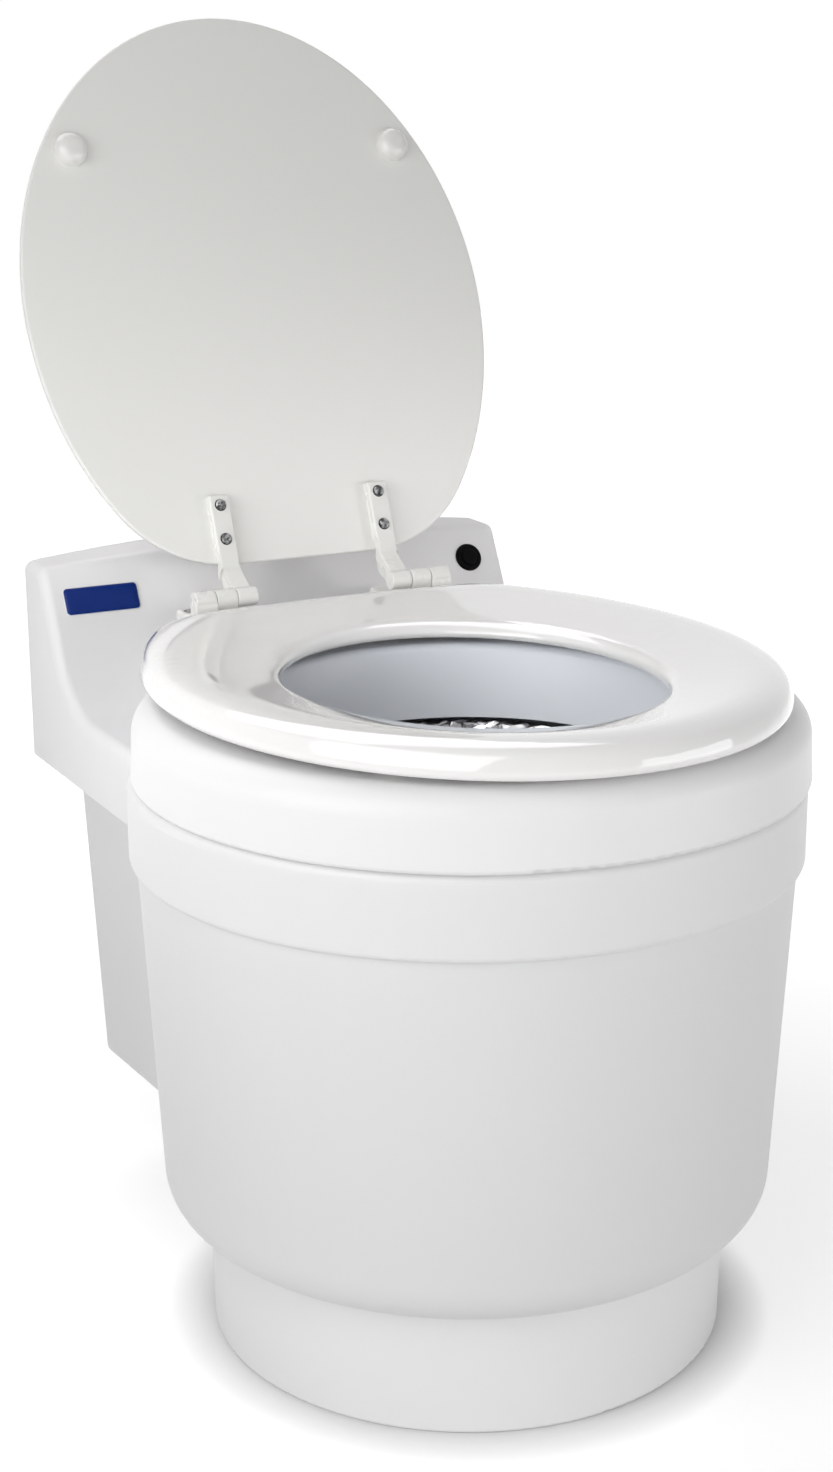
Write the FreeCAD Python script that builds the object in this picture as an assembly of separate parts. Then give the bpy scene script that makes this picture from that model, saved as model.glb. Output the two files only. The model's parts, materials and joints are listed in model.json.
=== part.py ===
"""Portable dry toilet: a drum on a smaller base, a collar with a rear housing, a hinged seat and lid.

Millimetres. The front faces -Y, +Z is up, and the origin is where the drum's axis meets the floor.
The lid is built closed and level, then opened; everything else is built where it stands.
"""
import FreeCAD, Part
import math
import os
from FreeCAD import Matrix, Rotation, Vector

# Shells and fits
WALL = 3.0  # moulded shells
FIT = 0.3  # gap between curved faces that meet
RUNNING = 0.05  # radial gap of a shaft in its bore
EDGE = 7.0  # round on the housing's outer edges

# Drum on its base
DRUM_FLOOR_Z = 77.5  # height of the base
DRUM_H = 221.5  # from its floor to the seam under the collar
DRUM_LOW_R = 183.7  # where the side would meet the floor without its round
DRUM_HIGH_R = 195.0  # just under the collar
DRUM_ROUND = 26.0
NECK_STEP = 3.0  # the drum's neck stands back inside the collar
NECK_H = 16.0
LEDGE_DROP = 74.0  # from the seam down to the ledge that carries the deck
LEDGE_W = 6.0
LEDGE_H = 8.0
BASE_INSET = 25.7  # the base stands back under the drum
BASE_DRAFT = 1.0
BASE_FLOOR = 4.0
PAD_INSET = 17.0
PAD_T = 2.5

# Collar and rear housing
COLLAR_H = 49.0
BAND_PROUD = 4.3  # of the band over the drum
BAND_LOW_ROUND = 3.5
BAND_TOP_ROUND = 6.0
COLLAR_LIP = 11.8
HOUSING_HALF_W = 169.0
HOUSING_REACH = 108.7  # from the drum's side to the housing's back
HOUSING_FOOT = 3.5  # its underside over the collar's lower edge
HOUSING_RISE = 86.0  # top at the two ends over the deck
HOUSING_CROWN = 6.0  # rise of the top from its ends to its middle, along the panel
HOUSING_SWELL = 5.5  # further rise of the middle along the back
HOUSING_TOP_D = 31.7  # depth of the top
PANEL_LEAN = 27.0  # degrees from upright
COVE_R = 57.0  # sweep of the panel into the deck

# Lower rear box
BOX_HALF_W = 127.3  # at the foot of its back wall
BOX_LEAN = 0.051  # widening upwards, per unit of height
BOX_FLARE = 0.059  # narrowing towards the drum, per unit of depth
BOX_ROUND = 7.0
COVER_T = 3.0
COVER_HALF_W = 104.0
COVER_FOOT = 34.5  # from the box's floor to the cover
COVER_HEAD = 15.0  # from the cover to the collar
COVER_LAP = 5.0
COVER_ROUND = 8.0
LOUVRE_COUNT = 7
LOUVRE_W = 58.0
LOUVRE_H = 4.0
LOUVRE_PITCH = 9.0

# Cap and bowl
CAP_Y = -5.0  # the cap stands a little forward of the drum
CAP_STEP = 0.8  # the cap stands back from the band
CAP_H = 44.0
CAP_DRAFT = 2.0  # narrowing of the side from its foot to its top
CAP_SHOULDER = 16.0
CAP_FOOT_ROUND = 3.2
CAP_RIM = 63.5  # width of the ring on top
CAP_LIP = 9.0
REBATE_W = 7.0
REBATE_D = 2.5
TONGUE_HALF_W = 98.0  # shelf behind the ring that carries the hinges
TONGUE_REACH = 40.4  # behind the hinge axis
TONGUE_GAP = 0.6  # over the sweep of the panel
BOWL_GAP = 4.0
BOWL_DRAFT = 12.0
BOWL_DEPTH = 45.0
BOWL_WALL = 2.5
BOWL_EASE = 6.0  # round of the wall into its flange

# Film cassette, turntable and drive
CASSETTE_DROP = 7.0  # below the bowl's foot
CASSETTE_W = 28.0
FILM_T = 1.2
FILM_SLEEVE_H = 30.0
FILM_FUNNEL_H = 40.0
FILM_BEND = 8.0
FILM_NECK_R = 11.0
FILM_END_Z = 150.0
GEAR_MODULE = 4.0
RING_TEETH = 75
PINION_TEETH = 14
PRESSURE = 25.0  # degrees
ADDENDUM = 0.8  # stub teeth, in modules
DEDENDUM = 1.0
BACKLASH = 0.3
TURNTABLE_STEP = 6.0  # its bore outside the cassette's
TURNTABLE_T = 12.0
GLIDE_T = 6.0
GLIDE_R = 7.0
GLIDE_COUNT = 6
DECK_T = 4.0
DECK_HOLE_R = 112.0
SPIGOT_H = 14.0
TAB_HALF_W = 46.0
MOTOR_R = 18.0
MOTOR_H = 44.0
GEARBOX_R = 24.0
GEARBOX_H = 24.0
SHAFT_R = 4.0
BRACKET_T = 3.0
BRACKET_GAP = 4.0  # between the pinion and the bracket round it

# Blower, battery and board
BLOWER_GAP = 4.0  # from the scroll to the box's side
BLOWER_H = 87.5  # axis over the box's floor
BLOWER_SET = 64.7  # front of the scroll, from the box's back
SCROLL_T = 32.0
SCROLL_R = 38.0
SCROLL_GROWTH = 8.0  # widening of the scroll over one turn
SCROLL_WALL = 2.0
IMPELLER_R = 32.0
BLADE_COUNT = 11
BLADE_T = 1.6
INLET_R = 19.0
DUCT_WALL = 2.0
FAN_MOTOR_R = 16.0
FAN_MOTOR_L = 24.0
FAN_SHAFT_R = 2.5
BATTERY_L = 151.0
BATTERY_W = 65.0
BATTERY_H = 94.0
BATTERY_GAP = 5.4  # from its end to the box's side
BATTERY_SET = 42.5  # its middle, from the box's back
TERMINAL_W = 6.0
TERMINAL_H = 7.0
STRAP_W = 15.0
STRAP_T = 1.5
BOARD_L = 100.0
BOARD_H = 62.0
BOARD_T = 1.6
BOARD_X = 40.0
BOARD_RISE = 27.0  # middle over the deck
RELAY_H = 15.0
BOSS_R = 3.5
BOSS_L = 6.0
INLET_SOCKET_R = 5.5
INLET_X = 70.0
INLET_RISE = 75.0  # over the blower's axis

# Flush button
BUTTON_INSET = 26.6  # from the housing's end
BUTTON_DROP = 19.9  # from the housing's top corner
BEZEL_R = 9.8
BEZEL_T = 2.2
BEZEL_BODY_R = 7.8
BUTTON_R = 6.2
BUTTON_RISE = 3.4
BUTTON_TRAVEL = 2.5
SWITCH_L = 10.0
NUT_R = 11.0
NUT_T = 3.0

# Hinges
HINGE_BEHIND = 2.1  # axis behind the cap's ring
HINGE_RISE = 26.3  # axis over the cap
POST_X = 69.85  # standard bolt spacing of 139.7 mm
KNUCKLE_R = 6.2
KNUCKLE_W = 14.0
KNUCKLE_GAP = 0.5
KNUCKLE_EASE = 0.8
PIN_R = 2.5
PIN_INSET = 1.5
ARM_W = 14.0
ARM_T = 7.0
ARM_WAIST = 1.3  # necking of each side
ARM_EASE = 1.4  # round along the lid strap's outer edges
LID_ARM_X = 57.2
LID_ARM_END = 70.0
LID_ARM_HEEL = 21.0  # where the strap starts to bend down
LID_ARM_NAPE = 9.0  # the same on its outer side
LID_SCREWS = (40.4, 62.9)
SEAT_ARM_T = 5.0
SEAT_ARM_POCKET = 3.6
SEAT_ARM_END = 76.0
SEAT_SCREWS = (34.0, 60.0)
SCREW_R = 3.5
SCREW_H = 2.0
POST_BASE_W = 46.0
POST_BASE_D = 24.0
POST_BASE_H = 16.0
POST_GAP = 1.4  # from the knuckles to the post's base behind them
BOLT_R = 3.0
BOLT_HEAD_R = 6.0
BOLT_HEAD_H = 3.0
BOLT_NUT_H = 5.0

# Seat
SEAT_INSET = 18.5  # the seat is narrower than the cap on each side
SEAT_MID_Y = 6.8
SEAT_OVERHANG = 3.7  # of the front over the cap
SEAT_REAR = 232.0  # half-length of the oval that the rear edge cuts off
SEAT_BACK_GAP = 7.0  # from the rear edge to the hinge axis
SEAT_CRISP = 0.65  # tightening of the outer round along the rear edge
SEAT_POWER = 28.0  # softness of the rear corners: higher is sharper
SEAT_LIFT = 5.5  # over the cap
SEAT_T = 18.0
SEAT_RIM = 72.5  # width of each side
HOLE_MID_Y = -7.0
HOLE_HALF_L = 127.0
SEAT_STATIONS = 60
SEAT_PROFILE = (  # cross-section: share of the way in to the hole, share of the height
    (0.02, 0.0), (0.0, 0.13), (0.006, 0.42), (0.05, 0.76), (0.14, 0.94), (0.28, 1.0), (0.5, 0.89),
    (0.72, 0.72), (0.87, 0.59), (0.955, 0.46), (0.99, 0.3), (1.0, 0.12), (0.985, 0.0),
)
BUFFER_R = 10.0
BUFFER_SHARE = 0.4  # of the way in to the hole
BUFFER_TURNS = (-48.0, 36.0)  # degrees round the seat, each on both sides

# Lid
LID_INSET = 15.8  # the lid is narrower than the seat on each side
LID_MID = 195.9  # along the lid, from the hinge axis
LID_FRONT = 198.7
LID_REAR = 202.0
LID_HEEL = 24.5  # the cut-off end by the hinges
LID_CORNER = 90.0
LID_T = 12.0
LID_ROUND = 10.0
LID_EASE = 1.5
LID_RISE = 18.2  # inner face above the hinge axis when the lid is level
LID_OPEN = 111.3  # degrees from level to the open stop
DOME_R = 11.5
DOME_H = 9.0
DOME_X = 116.4
DOME_S = 304.4

# Derived places
BASE_TOP_R = DRUM_LOW_R - BASE_INSET
BASE_FOOT_R = BASE_TOP_R - BASE_DRAFT
PAD_R = BASE_FOOT_R - PAD_INSET
COLLAR_Z = DRUM_FLOOR_Z + DRUM_H
DECK_Z = COLLAR_Z + COLLAR_H
CAP_TOP_Z = DECK_Z + CAP_H
TAPER = (DRUM_HIGH_R - DRUM_LOW_R) / DRUM_H
LEDGE_Z = COLLAR_Z - LEDGE_DROP
BAND_R = DRUM_HIGH_R + BAND_PROUD
COLLAR_MOUTH_R = BAND_R - COLLAR_LIP
HOUSING_BACK_Y = DRUM_HIGH_R + HOUSING_REACH
HOUSING_LOW_Z = COLLAR_Z + HOUSING_FOOT
HOUSING_CORNER_Z = DECK_Z + HOUSING_RISE
PANEL_TOP_Y = HOUSING_BACK_Y - HOUSING_TOP_D
LEAN = math.radians(PANEL_LEAN)
PANEL_OUT = Vector(0, -math.cos(LEAN), math.sin(LEAN))
BOX_BACK_Y = HOUSING_BACK_Y - COVER_T
COVER_LOW_Z = DRUM_FLOOR_Z + COVER_FOOT
COVER_HIGH_Z = COLLAR_Z - COVER_HEAD
CAP_R = BAND_R - CAP_STEP
CAP_MOUTH_R = CAP_R - CAP_RIM
BOWL_TOP_R = CAP_MOUTH_R - BOWL_GAP
BOWL_FOOT_R = BOWL_TOP_R - BOWL_DRAFT
BOWL_FOOT_Z = CAP_TOP_Z - BOWL_DEPTH
DECK_TOP_Z = LEDGE_Z + DECK_T
RING_Z = DECK_TOP_Z + GLIDE_T
RING_TOP_Z = RING_Z + TURNTABLE_T
RING_PITCH_R = GEAR_MODULE * RING_TEETH / 2
PINION_PITCH_R = GEAR_MODULE * PINION_TEETH / 2
PINION_Y = RING_PITCH_R + PINION_PITCH_R
PINION_TIP_R = PINION_PITCH_R + ADDENDUM * GEAR_MODULE
CASSETTE_R = RING_PITCH_R
CASSETTE_BORE_R = CASSETTE_R - CASSETTE_W
CASSETTE_TOP_Z = BOWL_FOOT_Z - CASSETTE_DROP
TURNTABLE_BORE_R = CASSETTE_BORE_R + TURNTABLE_STEP
THROAT_R = CASSETTE_BORE_R - FIT
SLEEVE_Z = CASSETTE_TOP_Z - FILM_SLEEVE_H
BRACKET_IN = PINION_TIP_R + BRACKET_GAP
BRACKET_TOP_Z = RING_TOP_Z + BRACKET_GAP + BRACKET_T
NOTCH_HALF_W = TAB_HALF_W + 2 * FIT
BOX_IN_HALF_W = BOX_HALF_W - WALL
BOX_LEFT_X = BOX_FLARE * BLOWER_SET - BOX_LEAN * BLOWER_H - BOX_IN_HALF_W
BLOWER_X = BOX_LEFT_X + BLOWER_GAP + SCROLL_R + SCROLL_GROWTH / 2
BLOWER_Y = BOX_BACK_Y - BLOWER_SET
BLOWER_Z = DRUM_FLOOR_Z + BLOWER_H
BLOWER_BACK_Y = BLOWER_Y + SCROLL_T
BATTERY_X = BOX_IN_HALF_W - BOX_FLARE * (BATTERY_SET + BATTERY_W / 2) - BATTERY_GAP - BATTERY_L / 2
BATTERY_Y = BOX_BACK_Y - BATTERY_SET
BOX_INSIDE_Z = DRUM_FLOOR_Z + WALL
BOARD_Z = DECK_Z + BOARD_RISE
INLET_Z = BLOWER_Z + INLET_RISE
BUTTON_X = HOUSING_HALF_W - BUTTON_INSET
BUTTON_Z = HOUSING_CORNER_Z - BUTTON_DROP
HINGE_Y = CAP_Y + CAP_R + HINGE_BEHIND
HINGE_Z = CAP_TOP_Z + HINGE_RISE
HINGE = Vector(0, HINGE_Y, HINGE_Z)
TONGUE_BACK_Y = HINGE_Y + TONGUE_REACH
POST_BASE_TOP = CAP_TOP_Z + POST_BASE_H
POST_FRONT_Y = HINGE_Y + KNUCKLE_R + POST_GAP
POST_MID_Y = POST_FRONT_Y + POST_BASE_D / 2
ARM_OUT_X = POST_X + KNUCKLE_W + KNUCKLE_GAP
ARM_IN_X = POST_X - KNUCKLE_W - KNUCKLE_GAP
SEAT_HALF_W = CAP_R - SEAT_INSET
SEAT_FRONT = SEAT_MID_Y - CAP_Y + CAP_R + SEAT_OVERHANG
SEAT_BACK_Y = HINGE_Y - SEAT_BACK_GAP
SEAT_LOW_Z = CAP_TOP_Z + SEAT_LIFT
HOLE_HALF_W = SEAT_HALF_W - SEAT_RIM
LID_HALF_W = SEAT_HALF_W - LID_INSET


def drum_r(z):
    """Outer radius of the drum's tapered side at a height."""
    return DRUM_LOW_R + TAPER * (z - DRUM_FLOOR_Z)


def panel_y(z, depth=0.0):
    """Front of the leaning panel at a height, or of a plane some depth behind it."""
    top = HOUSING_CORNER_Z + HOUSING_CROWN
    return PANEL_TOP_Y - (top - z) * math.tan(LEAN) + depth / math.cos(LEAN)


def box_half(y, z, inset=0.0):
    """Half-width of the lower box, which narrows downwards, and forwards to meet the drum."""
    return BOX_HALF_W - inset + BOX_LEAN * (z - DRUM_FLOOR_Z) - BOX_FLARE * (BOX_BACK_Y - y)


# Helpers: points, wires and plain solids
def at_rz(r, z):
    return Vector(r, 0, z)


def at_yz(y, z):
    return Vector(0, y, z)


def at_xz(x, z):
    return Vector(x, 0, z)


def at_xy(x, y):
    return Vector(x, y, 0)


def rounded_wire(corners, place):
    """Closed wire through corners (u, v) or (u, v, radius), with each radius as a tangent arc."""
    points = [Vector(c[0], c[1], 0) for c in corners]
    spans = []
    for i, corner in enumerate(corners):
        here = points[i]
        radius = corner[2] if len(corner) > 2 else 0.0
        if not radius:
            spans.append((here, None, here))
            continue
        back = (points[i - 1] - here).normalize()
        ahead = (points[(i + 1) % len(points)] - here).normalize()
        half = math.acos(max(-1.0, min(1.0, back.dot(ahead)))) / 2
        reach = radius / math.tan(half)
        middle = (back + ahead).normalize()
        top = here + middle * (radius / math.sin(half) - radius)
        spans.append((here + back * reach, top, here + ahead * reach))
    edges = []
    for i, (start, top, end) in enumerate(spans):
        if top is not None:
            edges.append(Part.Arc(*(place(p.x, p.y) for p in (start, top, end))).toShape())
        following = spans[(i + 1) % len(spans)][0]
        if (following - end).Length > 1e-6:
            edges.append(Part.makeLine(place(end.x, end.y), place(following.x, following.y)))
    return Part.Wire(edges)


def revolve(corners, x=0.0, y=0.0):
    """Solid of revolution of an (r, z) profile about an upright axis."""
    face = Part.Face(rounded_wire(corners, at_rz))
    solid = face.revolve(Vector(0, 0, 0), Vector(0, 0, 1), 360)
    solid.translate(Vector(x, y, 0))
    return solid


def prism_x(corners, x0, x1):
    """Solid of a (y, z) profile run along X."""
    solid = Part.Face(rounded_wire(corners, at_yz)).extrude(Vector(x1 - x0, 0, 0))
    solid.translate(Vector(x0, 0, 0))
    return solid


def prism_y(corners, y0, y1):
    """Solid of an (x, z) profile run along Y."""
    solid = Part.Face(rounded_wire(corners, at_xz)).extrude(Vector(0, y1 - y0, 0))
    solid.translate(Vector(0, y0, 0))
    return solid


def prism_z(corners, z0, z1):
    """Solid of an (x, y) profile run upwards."""
    solid = Part.Face(rounded_wire(corners, at_xy)).extrude(Vector(0, 0, z1 - z0))
    solid.translate(Vector(0, 0, z0))
    return solid


def rect(u0, u1, v0, v1, radius=0.0):
    """Corners of a rectangle, rounded alike."""
    return [(u0, v0, radius), (u1, v0, radius), (u1, v1, radius), (u0, v1, radius)]


def block(x0, x1, y0, y1, z0, z1):
    return Part.makeBox(x1 - x0, y1 - y0, z1 - z0, Vector(x0, y0, z0))


def rod(radius, start, end):
    """Round bar between two points."""
    along = end - start
    return Part.makeCylinder(radius, along.Length, start, along)


def upright(radius, z0, z1, x=0.0, y=0.0):
    return rod(radius, Vector(x, y, z0), Vector(x, y, z1))


def mirrored(shape):
    """A copy on the other side of the middle plane."""
    return shape.mirror(Vector(0, 0, 0), Vector(1, 0, 0))


def both_sides(shapes):
    """The shapes and their mirror copies, as one list."""
    return [s for shape in shapes for s in (shape, mirrored(shape))]


def fused(shapes):
    first, rest = shapes[0], shapes[1:]
    return first.multiFuse(rest).removeSplitter() if rest else first


def edges_where(shape, test):
    """Edges whose sampled points all pass a test."""
    chosen = []
    for edge in shape.Edges:
        first, last = edge.ParameterRange
        if all(test(edge.valueAt(first + (last - first) * k / 4)) for k in range(5)):
            chosen.append(edge)
    return chosen


def opened(shape, degrees):
    """The shape turned about the hinge axis; positive closes the lid."""
    turned = shape.copy()
    turned.rotate(HINGE, Vector(1, 0, 0), degrees)
    return turned


# Base and drum
def base_tub():
    floor = PAD_T + BASE_FLOOR
    return revolve([
        (0, PAD_T), (PAD_R + FIT, PAD_T), (PAD_R + FIT, 0), (BASE_FOOT_R, 0, WALL),
        (BASE_TOP_R, DRUM_FLOOR_Z), (BASE_TOP_R - WALL, DRUM_FLOOR_Z),
        (BASE_FOOT_R - WALL, floor), (0, floor),
    ])


def floor_pad():
    return upright(PAD_R, 0, PAD_T)


def drum_outside(gap=0.0):
    """Solid of the drum's outer form, grown all round by a gap."""
    high_z = COLLAR_Z + gap
    return revolve([
        (0, DRUM_FLOOR_Z - gap), (DRUM_LOW_R + gap, DRUM_FLOOR_Z - gap, DRUM_ROUND + gap),
        (drum_r(high_z) + gap, high_z), (0, high_z),
    ])


def drum_shell():
    neck_r = DRUM_HIGH_R - NECK_STEP
    neck_top = COLLAR_Z + NECK_H
    floor = DRUM_FLOOR_Z + WALL
    step_z = COLLAR_Z - 3 * NECK_STEP
    ledge_r = drum_r(LEDGE_Z) - WALL - LEDGE_W
    shell = revolve([
        (0, DRUM_FLOOR_Z), (DRUM_LOW_R, DRUM_FLOOR_Z, DRUM_ROUND), (DRUM_HIGH_R, COLLAR_Z),
        (neck_r, COLLAR_Z), (neck_r, neck_top), (neck_r - WALL, neck_top), (neck_r - WALL, COLLAR_Z),
        (drum_r(step_z) - WALL, step_z), (drum_r(LEDGE_Z) - WALL, LEDGE_Z), (ledge_r, LEDGE_Z),
        (drum_r(LEDGE_Z - LEDGE_H) - WALL, LEDGE_Z - LEDGE_H - LEDGE_W),
        (drum_r(floor + DRUM_ROUND / 2) - WALL, floor + DRUM_ROUND / 2),
        (DRUM_LOW_R - DRUM_ROUND / 2 - WALL, floor), (0, floor),
    ])
    notch = block(-NOTCH_HALF_W, NOTCH_HALF_W, CASSETTE_R, DRUM_HIGH_R + WALL, LEDGE_Z, neck_top + WALL)
    duct = rod(INLET_R + DUCT_WALL + FIT, Vector(BLOWER_X, 0, BLOWER_Z), Vector(BLOWER_X, BLOWER_Y, BLOWER_Z))
    return shell.cut(notch).cut(duct)


# Collar with the rear housing
def over_housing(inset):
    """Space over the housing's top, which is crowned along the panel and more so along the back."""
    ends = HOUSING_CORNER_Z - inset
    high = ends + 4 * (HOUSING_CROWN + HOUSING_SWELL)
    out = HOUSING_HALF_W + WALL
    rings = []
    for y in (PANEL_TOP_Y - HOUSING_TOP_D, HOUSING_BACK_Y + WALL):
        rise = HOUSING_CROWN + HOUSING_SWELL * (y - PANEL_TOP_Y) / HOUSING_TOP_D
        side = ends - rise * ((out / HOUSING_HALF_W) ** 2 - 1)
        left, middle, right = Vector(-out, y, side), Vector(0, y, ends + rise), Vector(out, y, side)
        above = Part.makePolygon([right, Vector(out, y, high), Vector(-out, y, high), left])
        rings.append(Part.Wire([Part.Arc(left, middle, right).toShape()] + above.Edges))
    return Part.makeLoft(rings, True, True)


def housing_block(inset=0.0):
    """The housing's side view run from end to end, or the same with every face moved inwards."""
    deck = DECK_Z - inset
    top = HOUSING_CORNER_Z + HOUSING_CROWN + HOUSING_SWELL - inset
    half = HOUSING_HALF_W - inset
    back = HOUSING_BACK_Y - inset
    low = HOUSING_LOW_Z + inset
    return prism_x([
        (0, low), (back, low), (back, top), (panel_y(top, inset), top),
        (panel_y(deck, inset), deck, COVE_R + inset), (0, deck),
    ], -half, half)


def housing_form(inset=0.0):
    """The housing's outer form, crowned and rounded, or the same form with every face moved inwards."""
    deck = DECK_Z - inset
    half = HOUSING_HALF_W - inset
    back = HOUSING_BACK_Y - inset
    form = housing_block(inset).cut(over_housing(inset))
    radius = EDGE - inset
    tall = deck + radius

    def on_side(p):
        return abs(abs(p.x) - half) < 0.01

    def outer_edge(p):
        return p.z > deck - 0.01 and (on_side(p) or p.z > tall) or (on_side(p) and p.y > back - 0.01)

    chosen = [e for e in edges_where(form, outer_edge) if e.BoundBox.YMax > 0.01 or e.BoundBox.YLength > 1]
    return form.makeFillet(radius, chosen)


def collar_housing():
    mouth_z = DECK_Z - WALL
    lip_r = DRUM_HIGH_R - NECK_STEP + FIT
    lip_z = COLLAR_Z + 2 * WALL
    neck_top = COLLAR_Z + NECK_H
    band = revolve([
        (0, COLLAR_Z), (BAND_R, COLLAR_Z, BAND_LOW_ROUND), (BAND_R, DECK_Z, BAND_TOP_ROUND), (0, DECK_Z),
    ])
    bore = revolve([
        (0, COLLAR_Z - 1), (lip_r, COLLAR_Z - 1), (lip_r, lip_z), (BAND_R - WALL, lip_z + WALL),
        (BAND_R - WALL, mouth_z - WALL), (COLLAR_MOUTH_R, mouth_z), (COLLAR_MOUTH_R, DECK_Z + 1), (0, DECK_Z + 1),
    ])
    ring_wall = upright(BAND_R, 0, DECK_Z)
    room = housing_form(WALL).cut(ring_wall)
    hatch = box_form(WALL, HOUSING_LOW_Z + 2 * WALL)
    notch = block(-NOTCH_HALF_W, NOTCH_HALF_W, CASSETTE_R, BAND_R + WALL, COLLAR_Z - 1, mouth_z - 2 * WALL)
    shell = housing_form().fuse(band).cut(bore).cut(room).cut(hatch.cut(ring_wall)).cut(notch)
    bosses = [board_boss(x, z) for x, z in board_corners()]
    hole = rod(BEZEL_BODY_R + FIT, button_point(-4 * WALL), button_point(WALL))
    return fused([shell] + bosses).cut(hole)


# Lower rear box
def box_form(inset=0.0, top=HOUSING_LOW_Z):
    """The box's outer form under the housing, or the same form with every face moved inwards."""
    low = DRUM_FLOOR_Z + inset
    back = BOX_BACK_Y - inset
    rings = []
    for z in (low, top):
        plan = ((-1, 0), (1, 0), (1, back), (-1, back))
        corners = [Vector(side * box_half(y, z, inset), y, z) for side, y in plan]
        rings.append(Part.makePolygon(corners + corners[:1]))
    form = Part.makeLoft(rings, True, True)

    def rounded(p):
        side = abs(abs(p.x) - box_half(p.y, p.z, inset)) < 0.01
        rear = p.y > back - 0.01
        return (side and rear) or (p.z < low + 0.01 and (side or rear))

    return form.makeFillet(BOX_ROUND - inset, edges_where(form, rounded))


def service_box():
    half = COVER_HALF_W - COVER_LAP
    window = prism_y(
        rect(-half, half, COVER_LOW_Z + COVER_LAP, COVER_HIGH_Z - COVER_LAP, COVER_ROUND),
        BOX_BACK_Y - 2 * WALL, BOX_BACK_Y + 1)
    tuck = upright(DRUM_LOW_R - DRUM_ROUND / 2, 0, COLLAR_Z)
    band = upright(BAND_R + FIT, COLLAR_Z - FIT, HOUSING_LOW_Z + 1)
    shell = box_form().cut(box_form(WALL, HOUSING_LOW_Z + 2 * WALL))
    return shell.cut(drum_outside(FIT)).cut(band).cut(tuck).cut(window)


def rear_cover():
    plate = prism_y(
        rect(-COVER_HALF_W, COVER_HALF_W, COVER_LOW_Z, COVER_HIGH_Z, COVER_ROUND),
        BOX_BACK_Y, BOX_BACK_Y + COVER_T)
    for k in range(LOUVRE_COUNT):
        z = BLOWER_Z + (k - (LOUVRE_COUNT - 1) / 2) * LOUVRE_PITCH
        left = -COVER_HALF_W + 3 * COVER_LAP
        slot = prism_y(
            rect(left, left + LOUVRE_W, z - LOUVRE_H / 2, z + LOUVRE_H / 2, LOUVRE_H / 2 - 0.1),
            BOX_BACK_Y - 1, BOX_BACK_Y + COVER_T + 1)
        plate = plate.cut(slot)
    socket = rod(INLET_SOCKET_R + FIT, Vector(INLET_X, BOX_BACK_Y - 1, INLET_Z),
                 Vector(INLET_X, BOX_BACK_Y + COVER_T + 1, INLET_Z))
    return plate.cut(socket)


def cover_screws():
    x = COVER_HALF_W - COVER_ROUND
    face = BOX_BACK_Y + COVER_T
    heads = []
    for z in (COVER_LOW_Z + COVER_ROUND, COVER_HIGH_Z - COVER_ROUND):
        head = rod(SCREW_R, Vector(x, face, z), Vector(x, face + SCREW_H, z))
        heads.append(head.makeChamfer(SCREW_H / 3, edges_where(head, lambda p: p.y > face + SCREW_H - 0.01)))
    return both_sides(heads)


def charge_inlet():
    face = BOX_BACK_Y + COVER_T
    flange = rod(1.4 * INLET_SOCKET_R, Vector(INLET_X, face, INLET_Z), Vector(INLET_X, face + 1.5, INLET_Z))
    body = rod(INLET_SOCKET_R, Vector(INLET_X, face - 4 * COVER_T, INLET_Z), Vector(INLET_X, face, INLET_Z))
    well = rod(0.6 * INLET_SOCKET_R, Vector(INLET_X, face - 3 * COVER_T, INLET_Z),
               Vector(INLET_X, face + 2, INLET_Z))
    pin = rod(0.2 * INLET_SOCKET_R, Vector(INLET_X, face - 3 * COVER_T, INLET_Z), Vector(INLET_X, face, INLET_Z))
    return fused([fused([flange, body]).cut(well), pin])


# Cap, bowl and film
def cap_ring():
    top = CAP_TOP_Z - WALL
    top_r = CAP_R - CAP_DRAFT
    rim_r = CAP_MOUTH_R + REBATE_W
    ring = revolve([
        (COLLAR_MOUTH_R - 4 * WALL, DECK_Z), (CAP_R, DECK_Z, CAP_FOOT_ROUND), (top_r, CAP_TOP_Z, CAP_SHOULDER),
        (rim_r, CAP_TOP_Z), (rim_r, CAP_TOP_Z - REBATE_D), (CAP_MOUTH_R, CAP_TOP_Z - REBATE_D),
        (CAP_MOUTH_R, top - CAP_LIP), (CAP_MOUTH_R + WALL, top - CAP_LIP), (CAP_MOUTH_R + WALL, top - REBATE_D),
        (rim_r + WALL, top - REBATE_D), (rim_r + WALL, top),
        (top_r - WALL, top, CAP_SHOULDER - WALL), (CAP_R - WALL, DECK_Z + WALL),
        (COLLAR_MOUTH_R - 4 * WALL, DECK_Z + WALL),
    ], y=CAP_Y)
    spigot_r = COLLAR_MOUTH_R - FIT
    spigot = revolve(rect(spigot_r - WALL, spigot_r, DECK_Z - 2 * WALL, DECK_Z + WALL))
    room = revolve(rect(0, CAP_R - WALL, DECK_Z - 1, top), y=CAP_Y)
    return fused([ring, spigot, hinge_tongue().cut(room)]).cut(bolt_holes())


def hinge_tongue():
    """Shelf behind the ring, with skirts down to the sweep of the panel."""
    foot = DECK_Z + WALL
    start = CAP_Y + CAP_R - 2 * CAP_SHOULDER
    inside = TONGUE_BACK_Y - WALL
    under = CAP_TOP_Z - WALL
    outline = [(start, foot), (TONGUE_BACK_Y, foot), (TONGUE_BACK_Y, CAP_TOP_Z, 2 * WALL), (start, CAP_TOP_Z)]
    hollow = [(start - 1, foot - 1), (inside, foot - 1), (inside, under, WALL), (start - 1, under)]
    shelf = prism_x(outline, -TONGUE_HALF_W, TONGUE_HALF_W)
    room = prism_x(hollow, -TONGUE_HALF_W + WALL, TONGUE_HALF_W - WALL)
    return shelf.cut(room).cut(housing_block(-TONGUE_GAP))


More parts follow.
